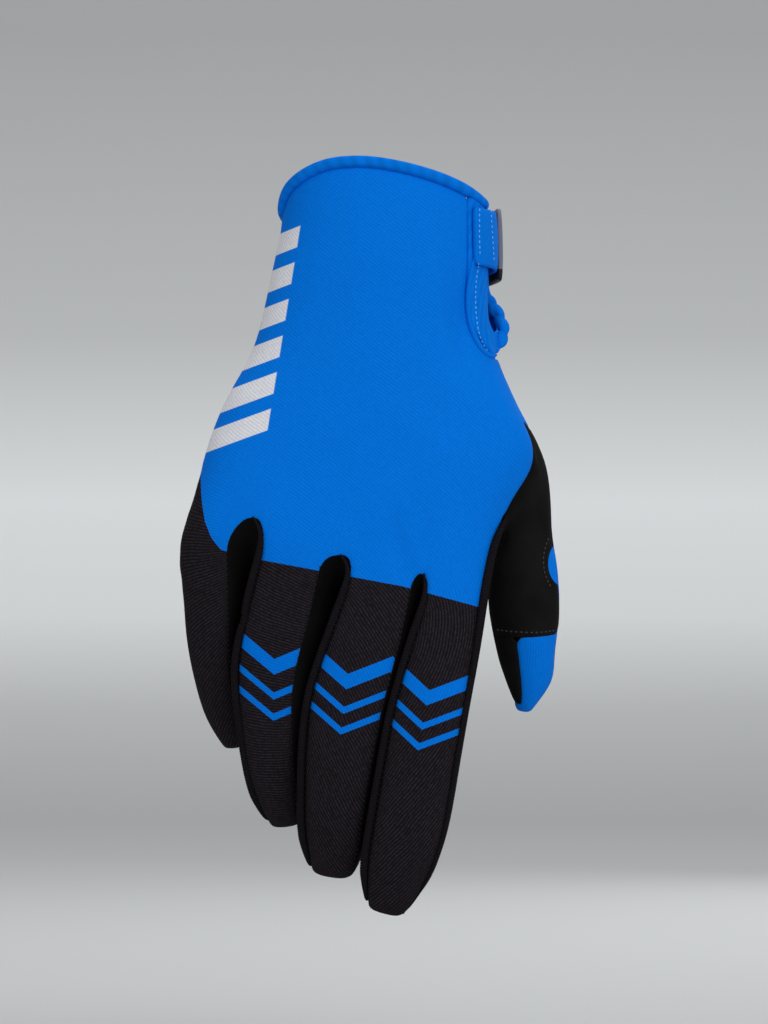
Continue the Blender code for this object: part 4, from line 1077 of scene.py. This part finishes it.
def dropped(points, surface):
    """A line drawn in the front view, in mm of X and Z, and dropped on to the surface from the front."""
    laid = []
    for (x0, z0), (x1, z1) in zip(points[:-1], points[1:]):
        for k in range(DROP_STEPS):
            x, z = x0 + (x1 - x0) * k / DROP_STEPS, z0 + (z1 - z0) * k / DROP_STEPS
            hit = surface.ray_cast(Vector((x / 1000, DROP_FROM, z / 1000)), Vector((0, 1, 0)))
            if hit[0] is not None:
                laid.append((hit[0], hit[1]))
    return laid


def stitch_row(name, line, look, apart, radius=STITCH_RADIUS):
    """A row of stitches along a line, as one piece."""
    bpy.ops.object.select_all(action="DESELECT")
    bpy.ops.mesh.primitive_uv_sphere_add(segments=STITCH_SIDES, ring_count=STITCH_RINGS, radius=1.0)
    first = bpy.context.object
    first.name = name
    first.data.name = name
    first.data.materials.append(look)
    places = even(line, apart, rounds=2)
    stitches = bmesh.new()
    for i, (point, normal) in enumerate(places):
        ahead = run_at(places, i)
        across = normal.cross(ahead).normalized()
        upright = ahead.cross(across)
        turn = Matrix((ahead * STITCH_LENGTH / 2, across * radius, upright * radius * STITCH_FLAT))
        middle = Matrix.Translation(point + normal * radius * STITCH_PROUD)
        stitch = first.data.copy()
        stitch.transform(middle @ turn.transposed().to_4x4())
        stitches.from_mesh(stitch)
        bpy.data.meshes.remove(stitch)
    stitches.to_mesh(first.data)
    stitches.free()
    bpy.ops.object.shade_smooth()
    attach(first, "root")
    return first


black_thread = thread("black_thread", (0.0035, 0.0035, 0.0038, 1))
brown_thread = thread("grey_brown_thread", (0.036, 0.032, 0.029, 1))
blue_thread = thread("light_blue_thread", (0.10, 0.42, 0.95, 1))
back_surface = tree_of(back)
for (finger, edge), line in finger_seams.items():
    top = max(point.z for point, _ in line) - BELOW_NOTCH
    line = [(point, normal) for point, normal in line if point.z < top]
    row = beside(line, back_surface, STITCHES_INSET[edge])
    stitch_row(f"{finger}_{edge}_stitches", row, black_thread, FINGER_STITCHES_APART)

# The slit's edging is turned into a thin roll that runs down from the strap and round the slit's end. Its
# far side is gathered into a puffed, pleated roll, and the flare is drawn back under it. Points are in mm.
SLIT_ROLL = [
    (27.0, -13.2),
    (26.0, -18.5),
    (25.3, -23.0),
    (25.1, -27.0),
    (25.5, -31.5),
    (26.2, -35.0),
    (27.3, -38.5),
    (28.9, -41.6),
    (31.0, -43.7),
    (33.0, -43.7),
    (34.4, -41.8),
]
SLIT_ROLL_RADIUS = 0.00085
SLIT_ROLL_ENDS = (0.35, 6, 0.4, 5)
SLIT_ROLL_PROUD = 0.25
GATHERED_ROLL = [
    (31.2, 4.5, -24.5),
    (33.3, 4.2, -28.0),
    (35.4, 3.8, -31.2),
    (36.4, 3.0, -34.2),
    (36.2, 2.0, -37.4),
    (34.6, 0.8, -40.2),
    (32.2, -0.8, -41.6),
    (30.2, -2.5, -41.8),
]
GATHERED_RADIUS = 0.0021
GATHERED_ENDS = (0.55, 2.2, 0.5, 3)
PLEATS = 5
PLEAT_DEPTH = 0.40
PLEAT_SLANT = 0.16
GATHERED_SIDES = 32
GATHERED_STEP = 0.00025
GATHERED_EVENS = 12
GATHERED_FACES = Vector((0.3, -1, 0))
FLARE_STARTS = 0.0332
FLARE_BELOW = -0.022
FLARE_KEPT = 0.25

for vertex in slit_edging.data.vertices:
    if vertex.co.x > FLARE_STARTS and vertex.co.z < FLARE_BELOW:
        vertex.co.x = FLARE_STARTS + (vertex.co.x - FLARE_STARTS) * FLARE_KEPT
slit_roll = roll(
    "slit_edge_roll",
    dropped(SLIT_ROLL, tree_of(back, slit_edging)),
    lambda t: SLIT_ROLL_RADIUS * tapered(t, SLIT_ROLL_ENDS),
    lambda t, normal: normal * SLIT_ROLL_PROUD * SLIT_ROLL_RADIUS,
    ridge=0.0,
)
slit_roll.data.materials.append(cuff_cloth)


def gathered_size(t, angle):
    """The gathered roll's radius: drawn in at each slanting pleat, and thinner at its ends."""
    slant = PLEAT_SLANT * math.sin(angle + 5 * t) + 0.07 * math.sin(2 * angle)
    fold = abs(math.sin(math.pi * (PLEATS * t**0.85 + slant)))
    puff = 1 - PLEAT_DEPTH * (1 - fold**0.7) + 0.08 * math.sin(3 * angle + 9 * t)
    return GATHERED_RADIUS * puff * tapered(t, GATHERED_ENDS)


gathered_line = [(Vector(point) / 1000, GATHERED_FACES) for point in GATHERED_ROLL]
gathered_line = even(gathered_line, GATHERED_STEP, rounds=GATHERED_EVENS)
gathered_rows = []
for i, (point, _) in enumerate(gathered_line):
    t = i / (len(gathered_line) - 1)
    sizes = [(angle, gathered_size(t, angle)) for angle in angles(GATHERED_SIDES)]
    gathered_rows.append(ring_round(gathered_line, i, point, sizes))
gathers = grid_piece("slit_gathers", gathered_rows)
gathers.data.materials.append(cuff_cloth)

# The strap's end is sewn over the slit's edging with two rows of light blue thread, and one row runs on
# below it beside the roll. Points are in mm.
CLOSURE_ROWS = {
    "strap_inner_stitches": [(28.7, 1.2), (28.6, -6.0), (28.8, -12.6)],
    "strap_outer_stitches": [(32.2, 1.0), (32.6, -6.0), (33.2, -14.6)],
    "slit_stitches": [
        (28.4, -15.2),
        (27.7, -20.0),
        (27.4, -25.0),
        (27.7, -31.0),
        (28.3, -35.5),
        (29.6, -39.3),
        (31.2, -41.4),
    ],
}
STITCHES_APART = 0.0016
CLOSURE_STITCH_RADIUS = 0.00023
closure_surface = tree_of(slit_edging, strap)
for name, points in CLOSURE_ROWS.items():
    row = dropped(points, closure_surface)
    stitch_row(name, row, blue_thread, STITCHES_APART, CLOSURE_STITCH_RADIUS)

# The thumb's patch is run with grey-brown thread just inside its hem and beside the blue crescent.
PATCH_ROWS = {
    "patch_hem_stitches": [(34.6, -126.6), (38.0, -127.1), (42.7, -127.4), (47.3, -127.4), (52.0, -126.8)],
    "patch_side_stitches": [(49.8, -99.0), (48.6, -102.0), (48.2, -106.0), (48.9, -110.0), (50.6, -113.4)],
}
PATCH_STITCH_RADIUS = 0.00024
patch_surface = tree_of(patch)
for name, points in PATCH_ROWS.items():
    row = dropped(points, patch_surface)
    stitch_row(name, row, brown_thread, STITCHES_APART, PATCH_STITCH_RADIUS)
